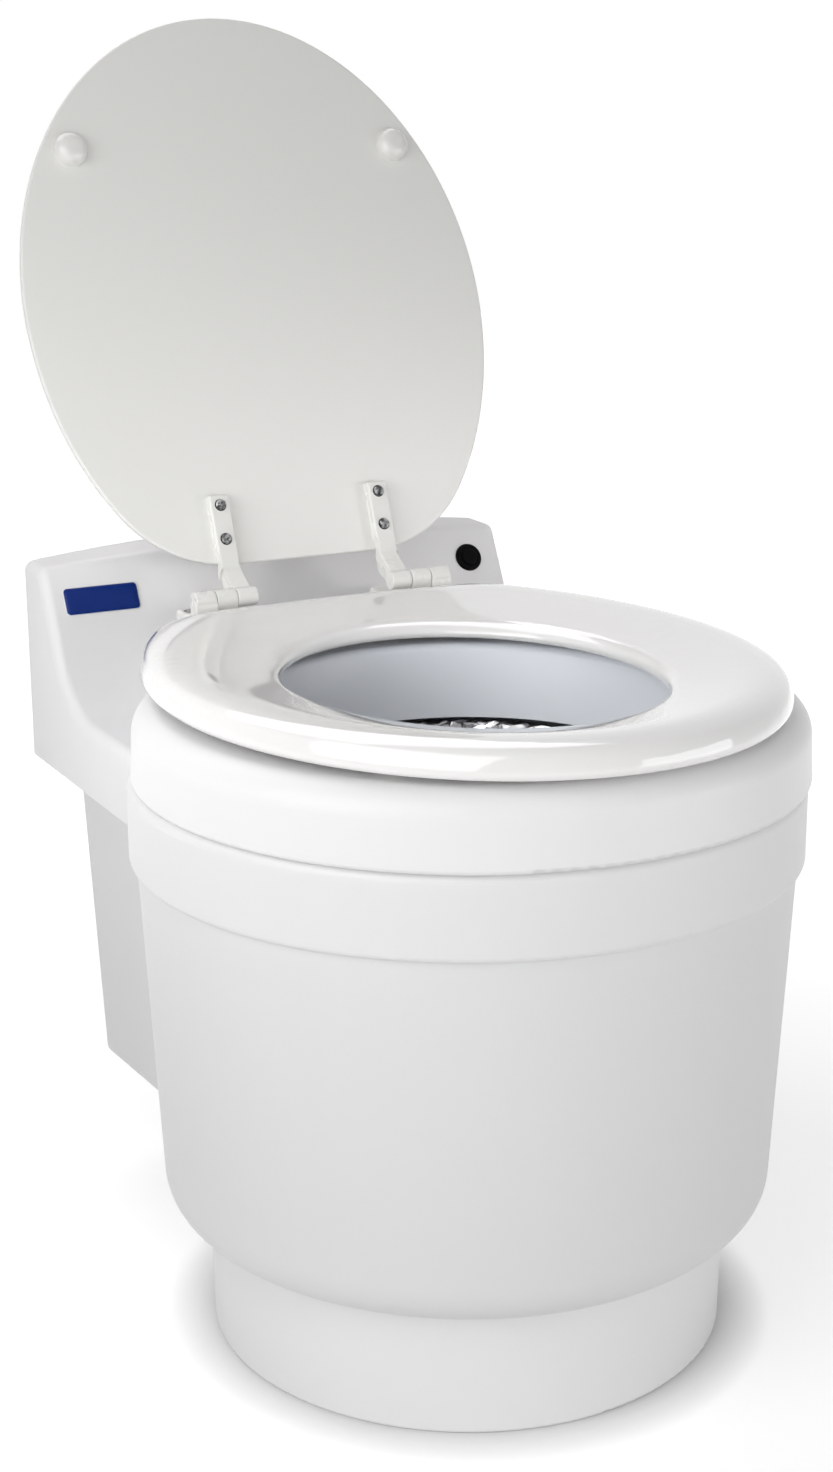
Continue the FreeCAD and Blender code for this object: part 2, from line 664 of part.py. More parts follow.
def bowl_liner():
    top = CAP_TOP_Z
    foot_in = BOWL_FOOT_R - BOWL_WALL
    flange_r = CAP_MOUTH_R + REBATE_W - FIT
    return revolve([
        (foot_in, BOWL_FOOT_Z), (BOWL_FOOT_R, BOWL_FOOT_Z),
        (BOWL_TOP_R, top - REBATE_D, BOWL_EASE - BOWL_WALL), (flange_r, top - REBATE_D),
        (flange_r, top), (BOWL_TOP_R - BOWL_WALL, top, BOWL_EASE),
    ], y=CAP_Y)


def film_cartridge():
    low = RING_TOP_Z
    return revolve([
        (CASSETTE_BORE_R, low), (CASSETTE_R, low), (CASSETTE_R, CASSETTE_TOP_Z),
        (CASSETTE_R - WALL, CASSETTE_TOP_Z), (CASSETTE_R - WALL, low + WALL),
        (CASSETTE_BORE_R + WALL, low + WALL), (CASSETTE_BORE_R + WALL, CASSETTE_TOP_Z),
        (CASSETTE_BORE_R, CASSETTE_TOP_Z),
    ])


def film_pack():
    low = RING_TOP_Z + WALL
    return revolve(rect(CASSETTE_BORE_R + 2 * WALL, CASSETTE_R - 2 * WALL, low, CASSETTE_TOP_Z - 4 * WALL))


def film_liner():
    """Film drawn from the cassette over its inner rim and straight down its bore."""
    rim_z = CASSETTE_TOP_Z
    lip_r = CASSETTE_BORE_R + WALL
    inner_r = THROAT_R - FILM_T
    return revolve([
        (inner_r, SLEEVE_Z), (THROAT_R, SLEEVE_Z), (THROAT_R, rim_z), (lip_r, rim_z), (lip_r, rim_z + FILM_T),
        (inner_r, rim_z + FILM_T),
    ])


def film_tail():
    """The same film below, gathered to a twisted neck."""
    waist_r = 0.62 * THROAT_R
    waist_z = DECK_TOP_Z + FILM_FUNNEL_H
    return revolve([
        (THROAT_R - FILM_T, SLEEVE_Z), (waist_r - FILM_T, waist_z + FILM_T, FILM_BEND), (0, DECK_TOP_Z + FILM_T),
        (0, FILM_END_Z), (FILM_NECK_R, FILM_END_Z), (FILM_NECK_R, DECK_TOP_Z, FILM_BEND),
        (waist_r, waist_z, FILM_BEND), (THROAT_R, SLEEVE_Z),
    ])


# Turntable and its drive
def involute(radius, base_r):
    """Angle of the involute at a radius."""
    alpha = math.acos(min(1.0, base_r / radius))
    return math.tan(alpha) - alpha


def gear_wire(teeth, centred, steps=3):
    """Outline of a spur gear with a tooth centred on an angle."""
    pitch_r = GEAR_MODULE * teeth / 2
    base_r = pitch_r * math.cos(math.radians(PRESSURE))
    tip_r = pitch_r + ADDENDUM * GEAR_MODULE
    root_r = pitch_r - DEDENDUM * GEAR_MODULE
    half = (math.pi * GEAR_MODULE / 2 - BACKLASH) / 2 / pitch_r + involute(pitch_r, base_r)
    start_r = max(root_r, base_r)
    flank = [(start_r + (tip_r - start_r) * k / steps) for k in range(steps + 1)]
    polar = [(r, half - involute(r, base_r)) for r in flank]
    if root_r < base_r:
        polar.insert(0, (root_r, polar[0][1]))
    points = []
    for k in range(teeth):
        middle = centred + 2 * math.pi * k / teeth
        side = [(r, middle - a) for r, a in polar] + [(r, middle + a) for r, a in reversed(polar)]
        points += [Vector(r * math.cos(a), r * math.sin(a), 0) for r, a in side]
    return Part.makePolygon(points + points[:1])


def gear_blank(teeth, centred, z0, z1):
    blank = Part.Face(gear_wire(teeth, centred)).extrude(Vector(0, 0, z1 - z0))
    blank.translate(Vector(0, 0, z0))
    return blank


def turntable():
    gap_to_pinion = math.pi / 2 + math.pi / RING_TEETH
    return gear_blank(RING_TEETH, gap_to_pinion, RING_Z, RING_TOP_Z).cut(
        upright(TURNTABLE_BORE_R, RING_Z - 1, RING_TOP_Z + 1))


def drive_pinion():
    gear = gear_blank(PINION_TEETH, -math.pi / 2, RING_Z + 0.5, RING_TOP_Z - 0.5)
    shaft = upright(SHAFT_R, RING_Z - GLIDE_T / 2, BRACKET_TOP_Z + GEARBOX_H / 2)
    whole = fused([gear, shaft])
    whole.translate(Vector(0, PINION_Y, 0))
    return whole


def support_deck():
    edge_r = drum_r(LEDGE_Z) - WALL - FIT
    spigot_r = TURNTABLE_BORE_R - FIT
    ring = revolve([
        (DECK_HOLE_R, LEDGE_Z), (edge_r, LEDGE_Z), (edge_r, DECK_TOP_Z), (spigot_r, DECK_TOP_Z),
        (spigot_r, DECK_TOP_Z + SPIGOT_H), (spigot_r - WALL, DECK_TOP_Z + SPIGOT_H),
        (spigot_r - WALL, DECK_TOP_Z), (DECK_HOLE_R, DECK_TOP_Z),
    ])
    tab_back = PINION_Y + BRACKET_IN + BRACKET_T
    tab = prism_z(
        [(-TAB_HALF_W, CASSETTE_R), (TAB_HALF_W, CASSETTE_R), (TAB_HALF_W, tab_back, 2 * WALL),
         (-TAB_HALF_W, tab_back, 2 * WALL)], LEDGE_Z, DECK_TOP_Z)
    return fused([ring, tab])


def glide_pads():
    radius = (TURNTABLE_BORE_R + RING_PITCH_R) / 2
    pads = []
    for k in range(GLIDE_COUNT):
        a = 2 * math.pi * k / GLIDE_COUNT
        pads.append(upright(GLIDE_R, DECK_TOP_Z, RING_Z, radius * math.cos(a), radius * math.sin(a)))
    return pads


def motor_bracket():
    """Bridge over the pinion, standing on the deck's tab."""
    out = BRACKET_IN + BRACKET_T
    depth = GEARBOX_R - BRACKET_T
    bridge = block(-out, out, PINION_Y - depth, PINION_Y + depth, DECK_TOP_Z, BRACKET_TOP_Z)
    under = block(-BRACKET_IN, BRACKET_IN, PINION_Y - depth - 1, PINION_Y + depth + 1,
                  DECK_TOP_Z - 1, BRACKET_TOP_Z - BRACKET_T)
    return bridge.cut(under).cut(upright(2 * SHAFT_R, DECK_TOP_Z, BRACKET_TOP_Z + 1, 0, PINION_Y))


def gear_motor():
    low = BRACKET_TOP_Z
    body = revolve([
        (0, low), (GEARBOX_R, low), (GEARBOX_R, low + GEARBOX_H), (MOTOR_R, low + GEARBOX_H),
        (MOTOR_R, low + GEARBOX_H + MOTOR_H), (0, low + GEARBOX_H + MOTOR_H),
    ], y=PINION_Y)
    return body.cut(upright(SHAFT_R + RUNNING, low - 1, low + GEARBOX_H / 2 + 1, 0, PINION_Y))


# Blower
def blower_point(y):
    return Vector(BLOWER_X, y, BLOWER_Z)


def scroll_outline(offset):
    """Volute that widens by half turns to an upright outlet on its right."""
    step = SCROLL_GROWTH / 2
    small = SCROLL_R - offset
    start = Vector(BLOWER_X + small, 0, BLOWER_Z)
    low = Vector(BLOWER_X - step / 2, 0, BLOWER_Z - small - step / 2)
    left = Vector(BLOWER_X - small - step, 0, BLOWER_Z)
    top = Vector(BLOWER_X, 0, BLOWER_Z + small + step)
    mouth = SCROLL_R + 5 * WALL
    right = Vector(BLOWER_X + small, 0, BLOWER_Z + mouth)
    inner = Vector(BLOWER_X, 0, BLOWER_Z + mouth)
    wire = Part.Wire([
        Part.Arc(start, low, left).toShape(),
        Part.Arc(left, left + (top - left) * 0.5 + Vector(-0.2 * small, 0, 0.2 * small), top).toShape(),
        Part.makeLine(top, inner), Part.makeLine(inner, right), Part.makeLine(right, start),
    ])
    return wire


def blower_scroll():
    shell = Part.Face(scroll_outline(0)).extrude(Vector(0, SCROLL_T, 0))
    room = Part.Face(scroll_outline(SCROLL_WALL)).extrude(Vector(0, SCROLL_T - 2 * SCROLL_WALL, 0))
    shell.translate(Vector(0, BLOWER_Y, 0))
    room.translate(Vector(0, BLOWER_Y + SCROLL_WALL, 0))
    legs = [block(BLOWER_X + x - WALL, BLOWER_X + x + WALL, BLOWER_Y, BLOWER_Y + SCROLL_T,
                  BOX_INSIDE_Z, BLOWER_Z) for x in (-SCROLL_R / 2, SCROLL_R / 2)]
    inlet = rod(INLET_R, blower_point(BLOWER_Y - 1), blower_point(BLOWER_Y + 2 * SCROLL_WALL))
    bearing = rod(FAN_SHAFT_R + RUNNING, blower_point(BLOWER_Y), blower_point(BLOWER_BACK_Y + 1))
    mouth = scroll_mouth()
    return fused([shell] + legs).cut(room).cut(mouth).cut(inlet).cut(bearing)


def scroll_mouth():
    """Opening through the end of the scroll's outlet."""
    top = BLOWER_Z + SCROLL_R + 5 * WALL
    return block(BLOWER_X + SCROLL_WALL, BLOWER_X + SCROLL_R - SCROLL_WALL, BLOWER_Y + SCROLL_WALL,
                 BLOWER_BACK_Y - SCROLL_WALL, BLOWER_Z + SCROLL_R, top + 1)


def blade():
    """One backward-curved blade, drawn round the origin in the X-Z plane."""
    tip_r = IMPELLER_R - BLADE_T
    sweep = 0.55
    a = Vector(INLET_R, 0, 0)
    b = Vector(tip_r * math.cos(sweep), 0, -tip_r * math.sin(sweep))
    middle = (a + b) * 0.5 + Vector(0.1 * tip_r, 0, 0.02 * tip_r)
    across = Vector(0.3 * BLADE_T, 0, BLADE_T)
    wire = Part.Wire([
        Part.Arc(a, middle, b).toShape(), Part.makeLine(b, b + across),
        Part.Arc(b + across, middle + across, a + across).toShape(), Part.makeLine(a + across, a),
    ])
    return Part.Face(wire)


def blower_impeller():
    front = BLOWER_Y + 3 * SCROLL_WALL
    back = BLOWER_BACK_Y - 2 * SCROLL_WALL
    disc_front = back - SCROLL_WALL
    disc = rod(IMPELLER_R, Vector(0, disc_front, 0), Vector(0, back, 0))
    hub = rod(3 * FAN_SHAFT_R, Vector(0, front + SCROLL_T / 3, 0), Vector(0, back, 0))
    shaft = rod(FAN_SHAFT_R, Vector(0, disc_front, 0), Vector(0, BLOWER_BACK_Y + FAN_MOTOR_L / 2, 0))
    wheel = fused([disc, hub, shaft])
    for k in range(BLADE_COUNT):
        one = blade().extrude(Vector(0, disc_front + SCROLL_WALL / 2 - front, 0))
        one.translate(Vector(0, front, 0))
        one.rotate(Vector(0, 0, 0), Vector(0, 1, 0), 360.0 * k / BLADE_COUNT)
        wheel = wheel.fuse(one)
    wheel.translate(Vector(BLOWER_X, 0, BLOWER_Z))
    return wheel


def blower_motor():
    can = rod(FAN_MOTOR_R, blower_point(BLOWER_BACK_Y), blower_point(BLOWER_BACK_Y + FAN_MOTOR_L))
    return can.cut(rod(FAN_SHAFT_R + RUNNING, blower_point(BLOWER_BACK_Y - 1),
                       blower_point(BLOWER_BACK_Y + FAN_MOTOR_L / 2 + 1)))


def vacuum_duct():
    start = math.sqrt((drum_r(BLOWER_Z) - 2 * WALL) ** 2 - BLOWER_X ** 2) - 4 * WALL
    tube = rod(INLET_R + DUCT_WALL, blower_point(start), blower_point(BLOWER_Y))
    return tube.cut(rod(INLET_R, blower_point(start - 1), blower_point(BLOWER_Y + 1)))


# Battery and board
def battery():
    floor = BOX_INSIDE_Z
    x0 = BATTERY_X - BATTERY_L / 2
    y0 = BATTERY_Y - BATTERY_W / 2
    case = prism_z(rect(x0, x0 + BATTERY_L, y0, y0 + BATTERY_W, WALL), floor, floor + BATTERY_H)
    top = floor + BATTERY_H
    half = TERMINAL_W / 2
    tabs = [block(x - half, x + half, BATTERY_Y - WALL / 6, BATTERY_Y + WALL / 6, top, top + TERMINAL_H)
            for x in (x0 + 2 * TERMINAL_W, x0 + BATTERY_L - 2 * TERMINAL_W)]
    return fused([case] + tabs)


def battery_strap():
    """Band over the battery, footed on the box's floor."""
    floor = BOX_INSIDE_Z
    y0 = BATTERY_Y - BATTERY_W / 2
    y1 = BATTERY_Y + BATTERY_W / 2
    top = floor + BATTERY_H
    foot = STRAP_W / 2
    band = block(0, STRAP_W, y0 - STRAP_T, y1 + STRAP_T, floor, top + STRAP_T).cut(
        block(-1, STRAP_W + 1, y0, y1, floor - 1, top))
    toe = block(0, STRAP_W, y0 - foot, y0 - STRAP_T, floor, floor + STRAP_T)
    strap = fused([band, toe])
    strap.translate(Vector(BATTERY_X - STRAP_W / 2, 0, 0))
    return strap


def board_corners():
    dx = BOARD_L / 2 - 2 * BOSS_R
    dz = BOARD_H / 2 - 2 * BOSS_R
    return [(BOARD_X + sx * dx, BOARD_Z + sz * dz) for sx in (-1, 1) for sz in (-1, 1)]


def board_boss(x, z):
    wall_y = HOUSING_BACK_Y - WALL
    return rod(BOSS_R, Vector(x, wall_y - BOSS_L, z), Vector(x, wall_y + WALL / 2, z))


def control_board():
    back = HOUSING_BACK_Y - WALL - BOSS_L
    front = back - BOARD_T
    plate = prism_y(
        rect(BOARD_X - BOARD_L / 2, BOARD_X + BOARD_L / 2, BOARD_Z - BOARD_H / 2, BOARD_Z + BOARD_H / 2, BOARD_T),
        front, back)

    def fitted(left, right, low, high, height):
        """A piece on the board: its edges as shares of the board's half-length and half-height."""
        u, v = BOARD_L / 2, BOARD_H / 2
        return block(BOARD_X + left * u, BOARD_X + right * u, front - height, front,
                     BOARD_Z + low * v, BOARD_Z + high * v)

    relay = fitted(-0.68, -0.32, -0.26, 0.45, RELAY_H)
    chip = fitted(-0.08, 0.2, -0.22, 0.22, RELAY_H / 5)
    sockets = fitted(0.36, 0.76, -0.77, -0.48, RELAY_H / 2)
    return fused([plate, relay, chip, sockets])


# Flush button, drawn along the panel's outward normal
def button_point(out):
    """A point on the button's axis, so far out from the panel's face."""
    return Vector(BUTTON_X, panel_y(BUTTON_Z), BUTTON_Z) + PANEL_OUT * out


def along_button(corners):
    """Solid of revolution of an (r, height) profile about the button's axis."""
    solid = revolve(corners)
    solid.Placement = FreeCAD.Placement(button_point(0), Rotation(Vector(0, 0, 1), PANEL_OUT))
    return solid


def button_bezel():
    bore = BUTTON_R + FIT
    depth = -4 * WALL
    return along_button([
        (bore, depth), (BEZEL_BODY_R, depth), (BEZEL_BODY_R, 0), (BEZEL_R, 0), (BEZEL_R, BEZEL_T, BEZEL_T * 0.8),
        (bore, BEZEL_T),
    ])


def button_cap():
    foot = -2 * WALL
    return along_button([(0, foot), (BUTTON_R, foot), (BUTTON_R, BUTTON_RISE, 1.8), (0, BUTTON_RISE)])


def button_nut():
    across = NUT_R * math.sqrt(3) / 2
    hexagon = Part.Face(Part.makePolygon([
        Vector(NUT_R * math.cos(math.pi * k / 3), NUT_R * math.sin(math.pi * k / 3), 0) for k in range(7)]))
    nut = hexagon.extrude(Vector(0, 0, NUT_T)).cut(upright(BEZEL_BODY_R + RUNNING, -1, NUT_T + 1))
    nut = nut.common(upright((NUT_R + across) / 2, 0, NUT_T))
    nut.Placement = FreeCAD.Placement(button_point(-WALL - NUT_T), Rotation(Vector(0, 0, 1), PANEL_OUT))
    return nut


def button_switch():
    """Switch body on the inner end of the bezel, with its plunger under the button."""
    end = -4 * WALL
    plunger_top = -2 * WALL - BUTTON_TRAVEL - FIT
    return along_button([
        (0, end - SWITCH_L), (BEZEL_BODY_R, end - SWITCH_L), (BEZEL_BODY_R, end), (BUTTON_R / 2, end),
        (BUTTON_R / 2, plunger_top), (0, plunger_top),
    ])


# Seat
def oval_wire(half_w, front, rear, mid, back):
    """Oval about (0, mid): one half-length to the front, another to the rear, cut off straight at back."""
    def half(length, angle0, angle1):
        circle = Part.ArcOfCircle(Part.Circle(Vector(0, 0, 0), Vector(0, 0, 1), 1.0), angle0, angle1).toShape()
        stretch = Matrix()
        stretch.scale(half_w, length, 1.0)
        return circle.transformGeometry(stretch)

    reach = math.asin((back - mid) / rear)
    parts = [half(front, math.pi, 2 * math.pi), half(rear, 0, reach), half(rear, math.pi - reach, math.pi)]
    x = half_w * math.cos(reach)
    cut = Part.makeLine(Vector(x, back - mid, 0), Vector(-x, back - mid, 0))
    wire = Part.Wire(Part.__sortEdges__(parts + [cut]))
    wire.translate(Vector(0, mid, 0))
    return wire


def oval_plate(wire, corner, thickness, back):
    """Plate of an oval outline with its two rear corners rounded, its underside at height 0."""
    plate = Part.Face(wire).extrude(Vector(0, 0, thickness))
    uprights = edges_where(plate, lambda p: abs(p.y - back) < 0.01)
    uprights = [e for e in uprights if e.BoundBox.ZLength > thickness / 2]
    return plate.makeFillet(corner, uprights)


def seat_point(turn, inset, height):
    """Point of the seat's skin: a turn round it, a share of the way in to the hole, a share of its height.

    The outer line is an oval that runs softly into a straight rear edge, where its round is tighter.
    """
    c, s = math.cos(turn), math.sin(turn)
    length = SEAT_REAR if s > 0 else SEAT_FRONT
    reach = math.hypot(c / SEAT_HALF_W, s / length)
    if s > 0:
        edge = s / (SEAT_BACK_Y - SEAT_MID_Y)
        reach = (reach ** SEAT_POWER + edge ** SEAT_POWER) ** (1 / SEAT_POWER)
    outer = Vector(c / reach, SEAT_MID_Y + s / reach, 0)
    inner = Vector(HOLE_HALF_W * c, HOLE_MID_Y + HOLE_HALF_L * s, 0)
    crisp = SEAT_CRISP * max(0.0, s) ** 4
    share = inset * (1 - crisp * (1 - inset))
    return outer + (inner - outer) * share + Vector(0, 0, SEAT_LOW_Z + height * SEAT_T)


def seat_section(inset, height):
    """Closed line round the seat at one place of its cross-section."""
    curve = Part.BSplineCurve()
    turns = [2 * math.pi * k / SEAT_STATIONS for k in range(SEAT_STATIONS)]
    curve.interpolate([seat_point(t, inset, height) for t in turns], PeriodicFlag=True)
    return Part.Wire([curve.toShape()])


def seat_ring():
    """Skin lofted through the cross-section's lines, closed by a flat underside."""
    lines = [seat_section(inset, height) for inset, height in SEAT_PROFILE]
    skin = Part.makeLoft(lines, False, False, False)
    underside = Part.makeFace([lines[0], lines[-1]], "Part::FaceMakerBullseye")
    shell = Part.Shell(skin.Faces + underside.Faces)
    shell.sewShape()
    ring = Part.Solid(shell)
    if ring.Volume < 0:
        ring.reverse()
    return ring.cut(Part.makeCompound(both_sides([seat_arm_pocket()])))


def seat_arm_pocket():
    x0 = ARM_OUT_X - ARM_W / 2 - FIT
    return block(x0, x0 + ARM_W + 2 * FIT, HINGE_Y - SEAT_ARM_END - FIT, SEAT_BACK_Y + 1,
                 SEAT_LOW_Z - 1, SEAT_LOW_Z + SEAT_ARM_POCKET)


def knuckle(x):
    """One barrel of a hinge, its middle at a place along the axis and its ends eased."""
    low, high = x - KNUCKLE_W / 2, x + KNUCKLE_W / 2
    barrel = rod(KNUCKLE_R, Vector(low, HINGE_Y, HINGE_Z), Vector(high, HINGE_Y, HINGE_Z))
    ends = edges_where(barrel, lambda p: p.x < low + 0.01) + edges_where(barrel, lambda p: p.x > high - 0.01)
    return barrel.makeFillet(KNUCKLE_EASE, ends)


def seat_arm():
    """Strap under the seat that turns up behind it to the outer knuckle."""
    top = SEAT_LOW_Z + SEAT_ARM_POCKET
    low = top - SEAT_ARM_T
    behind = SEAT_BACK_Y + FIT
    outline = [
        (HINGE_Y - SEAT_ARM_END, low, 1.0), (HINGE_Y + KNUCKLE_R * 0.6, low, 5.0),
        (HINGE_Y + KNUCKLE_R * 0.95, HINGE_Z), (HINGE_Y - KNUCKLE_R * 0.95, HINGE_Z), (behind, HINGE_Z - 6, 2.0),
        (behind, top), (HINGE_Y - SEAT_ARM_END, top),
    ]
    strap = prism_x(outline, ARM_OUT_X - ARM_W / 2, ARM_OUT_X + ARM_W / 2)
    return fused([strap, knuckle(ARM_OUT_X)]).cut(pin_bore(RUNNING))


def seat_arms():
    return both_sides([seat_arm()])


def screw_down(x, y, face):
    """Round-headed screw hanging from a downward face, with a cross cut in its head."""
    low = face - SCREW_H
    head = upright(SCREW_R, low, face, x, y)
    head = head.makeChamfer(0.4 * SCREW_H, edges_where(head, lambda p: p.z < low + 0.01))
    arm = 0.55 * SCREW_R
    slit = 0.14 * SCREW_R
    for dx, dy in ((arm, slit), (slit, arm)):
        head = head.cut(block(x - dx, x + dx, y - dy, y + dy, low - 1, low + 0.4 * SCREW_H))
    return head


def seat_screws():
    low = SEAT_LOW_Z + SEAT_ARM_POCKET - SEAT_ARM_T
    return both_sides([screw_down(ARM_OUT_X, HINGE_Y - s, low) for s in SEAT_SCREWS])


def seat_bumpers():
    feet = []
    for turn in BUFFER_TURNS:
        spot = seat_point(math.radians(turn), BUFFER_SHARE, 0)
        foot = upright(BUFFER_R, CAP_TOP_Z + FIT, SEAT_LOW_Z, spot.x, spot.y)
        feet.append(foot.makeChamfer(WALL / 2, edges_where(foot, lambda p: p.z < CAP_TOP_Z + FIT + 0.01)))
    return both_sides(feet)


# Lid, built level over the seat and then opened
def lid_face_z():
    return HINGE_Z + LID_RISE


def lid_panel():
    mid = HINGE_Y - LID_MID
    back = HINGE_Y - LID_HEEL
    plate = oval_plate(oval_wire(LID_HALF_W, LID_FRONT, LID_REAR, mid, back), LID_CORNER, LID_T, back)
    plate = plate.makeFillet(LID_ROUND, edges_where(plate, lambda p: p.z > LID_T - 0.01))
    plate = plate.makeFillet(LID_EASE, edges_where(plate, lambda p: p.z < 0.01))
    plate.translate(Vector(0, 0, lid_face_z()))
    return opened(plate, -LID_OPEN)


def lid_arm():
    """Strap on the lid's inner face, necked in and bent down to the inner knuckle."""
    top = lid_face_z()
    low = top - ARM_T
    outline = [
        (HINGE_Y - LID_ARM_END, top), (HINGE_Y - LID_ARM_END, low, 2.5), (HINGE_Y - LID_ARM_HEEL, low, 9.0),
        (HINGE_Y - KNUCKLE_R * 0.95, HINGE_Z), (HINGE_Y + KNUCKLE_R * 0.95, HINGE_Z),
        (HINGE_Y - LID_ARM_NAPE, top, 8.0),
    ]
    strap = prism_x(outline, LID_ARM_X - ARM_W / 2, LID_ARM_X + ARM_W / 2)

    def outer_edge(p):
        middle = HINGE_Y - LID_ARM_HEEL * (p.z - HINGE_Z) / LID_RISE
        return p.y < middle and abs(abs(p.x - LID_ARM_X) - ARM_W / 2) < 0.01

    edges = [e for e in edges_where(strap, outer_edge) if e.BoundBox.ZMin < top - 0.01]
    strap = strap.makeFillet(ARM_EASE, edges)
    waist_y = HINGE_Y - LID_SCREWS[0] + ARM_W
    waist_x = 1.5 * ARM_W - ARM_WAIST
    waist = [upright(ARM_W, low - LID_RISE, top + 1, LID_ARM_X + side * waist_x, waist_y) for side in (-1, 1)]
    web_reach = math.hypot(POST_MID_Y - HINGE_Y, HINGE_Z - POST_BASE_TOP)
    keep_clear = rod(web_reach + POST_GAP, Vector(ARM_IN_X + KNUCKLE_W / 2, HINGE_Y, HINGE_Z),
                     Vector(POST_X, HINGE_Y, HINGE_Z))
    strap = strap.cut(waist[0]).cut(waist[1]).cut(keep_clear)
    return fused([strap, knuckle(ARM_IN_X)]).cut(pin_bore(RUNNING))


def lid_arms():
    return [opened(arm, -LID_OPEN) for arm in both_sides([lid_arm()])]


def lid_screws():
    low = lid_face_z() - ARM_T
    heads = both_sides([screw_down(LID_ARM_X, HINGE_Y - s, low) for s in LID_SCREWS])
    return [opened(head, -LID_OPEN) for head in heads]


def lid_bumpers():
    top = lid_face_z()
    dome = upright(DOME_R, top - DOME_H, top, DOME_X, HINGE_Y - DOME_S)
    dome = dome.makeFillet(0.9 * DOME_H, edges_where(dome, lambda p: p.z < top - DOME_H + 0.01))
    return [opened(d, -LID_OPEN) for d in both_sides([dome])]


# Hinges
def pin_bore(gap):
    """Bore for a hinge pin on the right-hand side."""
    return rod(PIN_R + gap, Vector(ARM_IN_X - KNUCKLE_W / 2 + PIN_INSET - gap, HINGE_Y, HINGE_Z),
               Vector(ARM_OUT_X + KNUCKLE_W / 2 - PIN_INSET + gap, HINGE_Y, HINGE_Z))


def hinge_posts():
    base = prism_z(
        rect(POST_X - POST_BASE_W / 2, POST_X + POST_BASE_W / 2, POST_FRONT_Y, POST_FRONT_Y + POST_BASE_D, 6.0),
        CAP_TOP_Z, POST_BASE_TOP)
    base = base.makeFillet(2.5, edges_where(base, lambda p: p.z > POST_BASE_TOP - 0.01))
    web = prism_x([
        (HINGE_Y - 0.9 * KNUCKLE_R, HINGE_Z - 2), (HINGE_Y, CAP_TOP_Z + 2, 3.0), (POST_MID_Y, CAP_TOP_Z + 2),
        (POST_MID_Y, POST_BASE_TOP), (HINGE_Y + 0.9 * KNUCKLE_R, HINGE_Z + 2.4),
    ], POST_X - KNUCKLE_W / 2, POST_X + KNUCKLE_W / 2)
    recess = upright(BOLT_HEAD_R + FIT, POST_BASE_TOP - BOLT_HEAD_H, POST_BASE_TOP + 1, bolt_x(), POST_MID_Y)
    post = fused([base, web, knuckle(POST_X)]).cut(pin_bore(RUNNING)).cut(recess)
    return both_sides([post.cut(upright(BOLT_R + FIT, CAP_TOP_Z - 1, POST_BASE_TOP, bolt_x(), POST_MID_Y))])


def bolt_x():
    """The bolt stands outboard of the knuckle's web."""
    return POST_X + POST_BASE_W / 2 - BOLT_HEAD_R - 3.0


def hinge_pins():
    return both_sides([pin_bore(0.0)])


def bolt_holes():
    hole = upright(BOLT_R + FIT, CAP_TOP_Z - 3 * WALL, CAP_TOP_Z + 1, bolt_x(), POST_MID_Y)
    return Part.makeCompound(both_sides([hole]))


def hinge_bolts():
    head_z = POST_BASE_TOP - BOLT_HEAD_H
    shank = upright(BOLT_R, CAP_TOP_Z - WALL - 2 * BOLT_NUT_H, head_z, bolt_x(), POST_MID_Y)
    head = upright(BOLT_HEAD_R, head_z, POST_BASE_TOP, bolt_x(), POST_MID_Y)
    return both_sides([fused([shank, head])])


def hinge_nuts():
    top = CAP_TOP_Z - WALL
    radius = 2 * BOLT_R
    hexagon = Part.Face(Part.makePolygon([
        Vector(bolt_x() + radius * math.cos(math.pi * k / 3), POST_MID_Y + radius * math.sin(math.pi * k / 3), 0)
        for k in range(7)]))
    nut = hexagon.extrude(Vector(0, 0, BOLT_NUT_H))
    nut.translate(Vector(0, 0, top - BOLT_NUT_H))
    return both_sides([nut.cut(upright(BOLT_R + RUNNING, 0, top, bolt_x(), POST_MID_Y))])


NODES = (
    base_tub, floor_pad, drum_shell, collar_housing, service_box, rear_cover, cover_screws, charge_inlet,
    cap_ring, bowl_liner, film_cartridge, film_pack, film_liner, film_tail,
    turntable, glide_pads, support_deck, drive_pinion, motor_bracket, gear_motor,
    blower_scroll, blower_impeller, blower_motor, vacuum_duct, battery, battery_strap, control_board,
    button_bezel, button_cap, button_nut, button_switch,
    seat_ring, seat_arms, seat_screws, seat_bumpers, lid_panel, lid_arms, lid_screws, lid_bumpers,
    hinge_posts, hinge_pins, hinge_bolts, hinge_nuts,
)


def main():
    os.makedirs("parts", exist_ok=True)
    for build in NODES:
        made = build()
        solids = [s for shape in (made if isinstance(made, list) else [made]) for s in shape.Solids]
        shape = solids[0] if len(solids) == 1 else Part.makeCompound(solids)
        if not shape.isValid():
            raise ValueError(build.__name__ + " is not a valid solid")
        shape.exportStep("parts/" + build.__name__ + ".step")
        box = shape.BoundBox
        print(build.__name__, len(solids), "solids", round(shape.Volume / 1000, 1), "cm3",
              [round(v, 1) for v in (box.XMin, box.XMax, box.YMin, box.YMax, box.ZMin, box.ZMax)])


main()
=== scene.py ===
import json
import math

import bmesh
import bpy
from mathutils import Matrix, Vector, noise


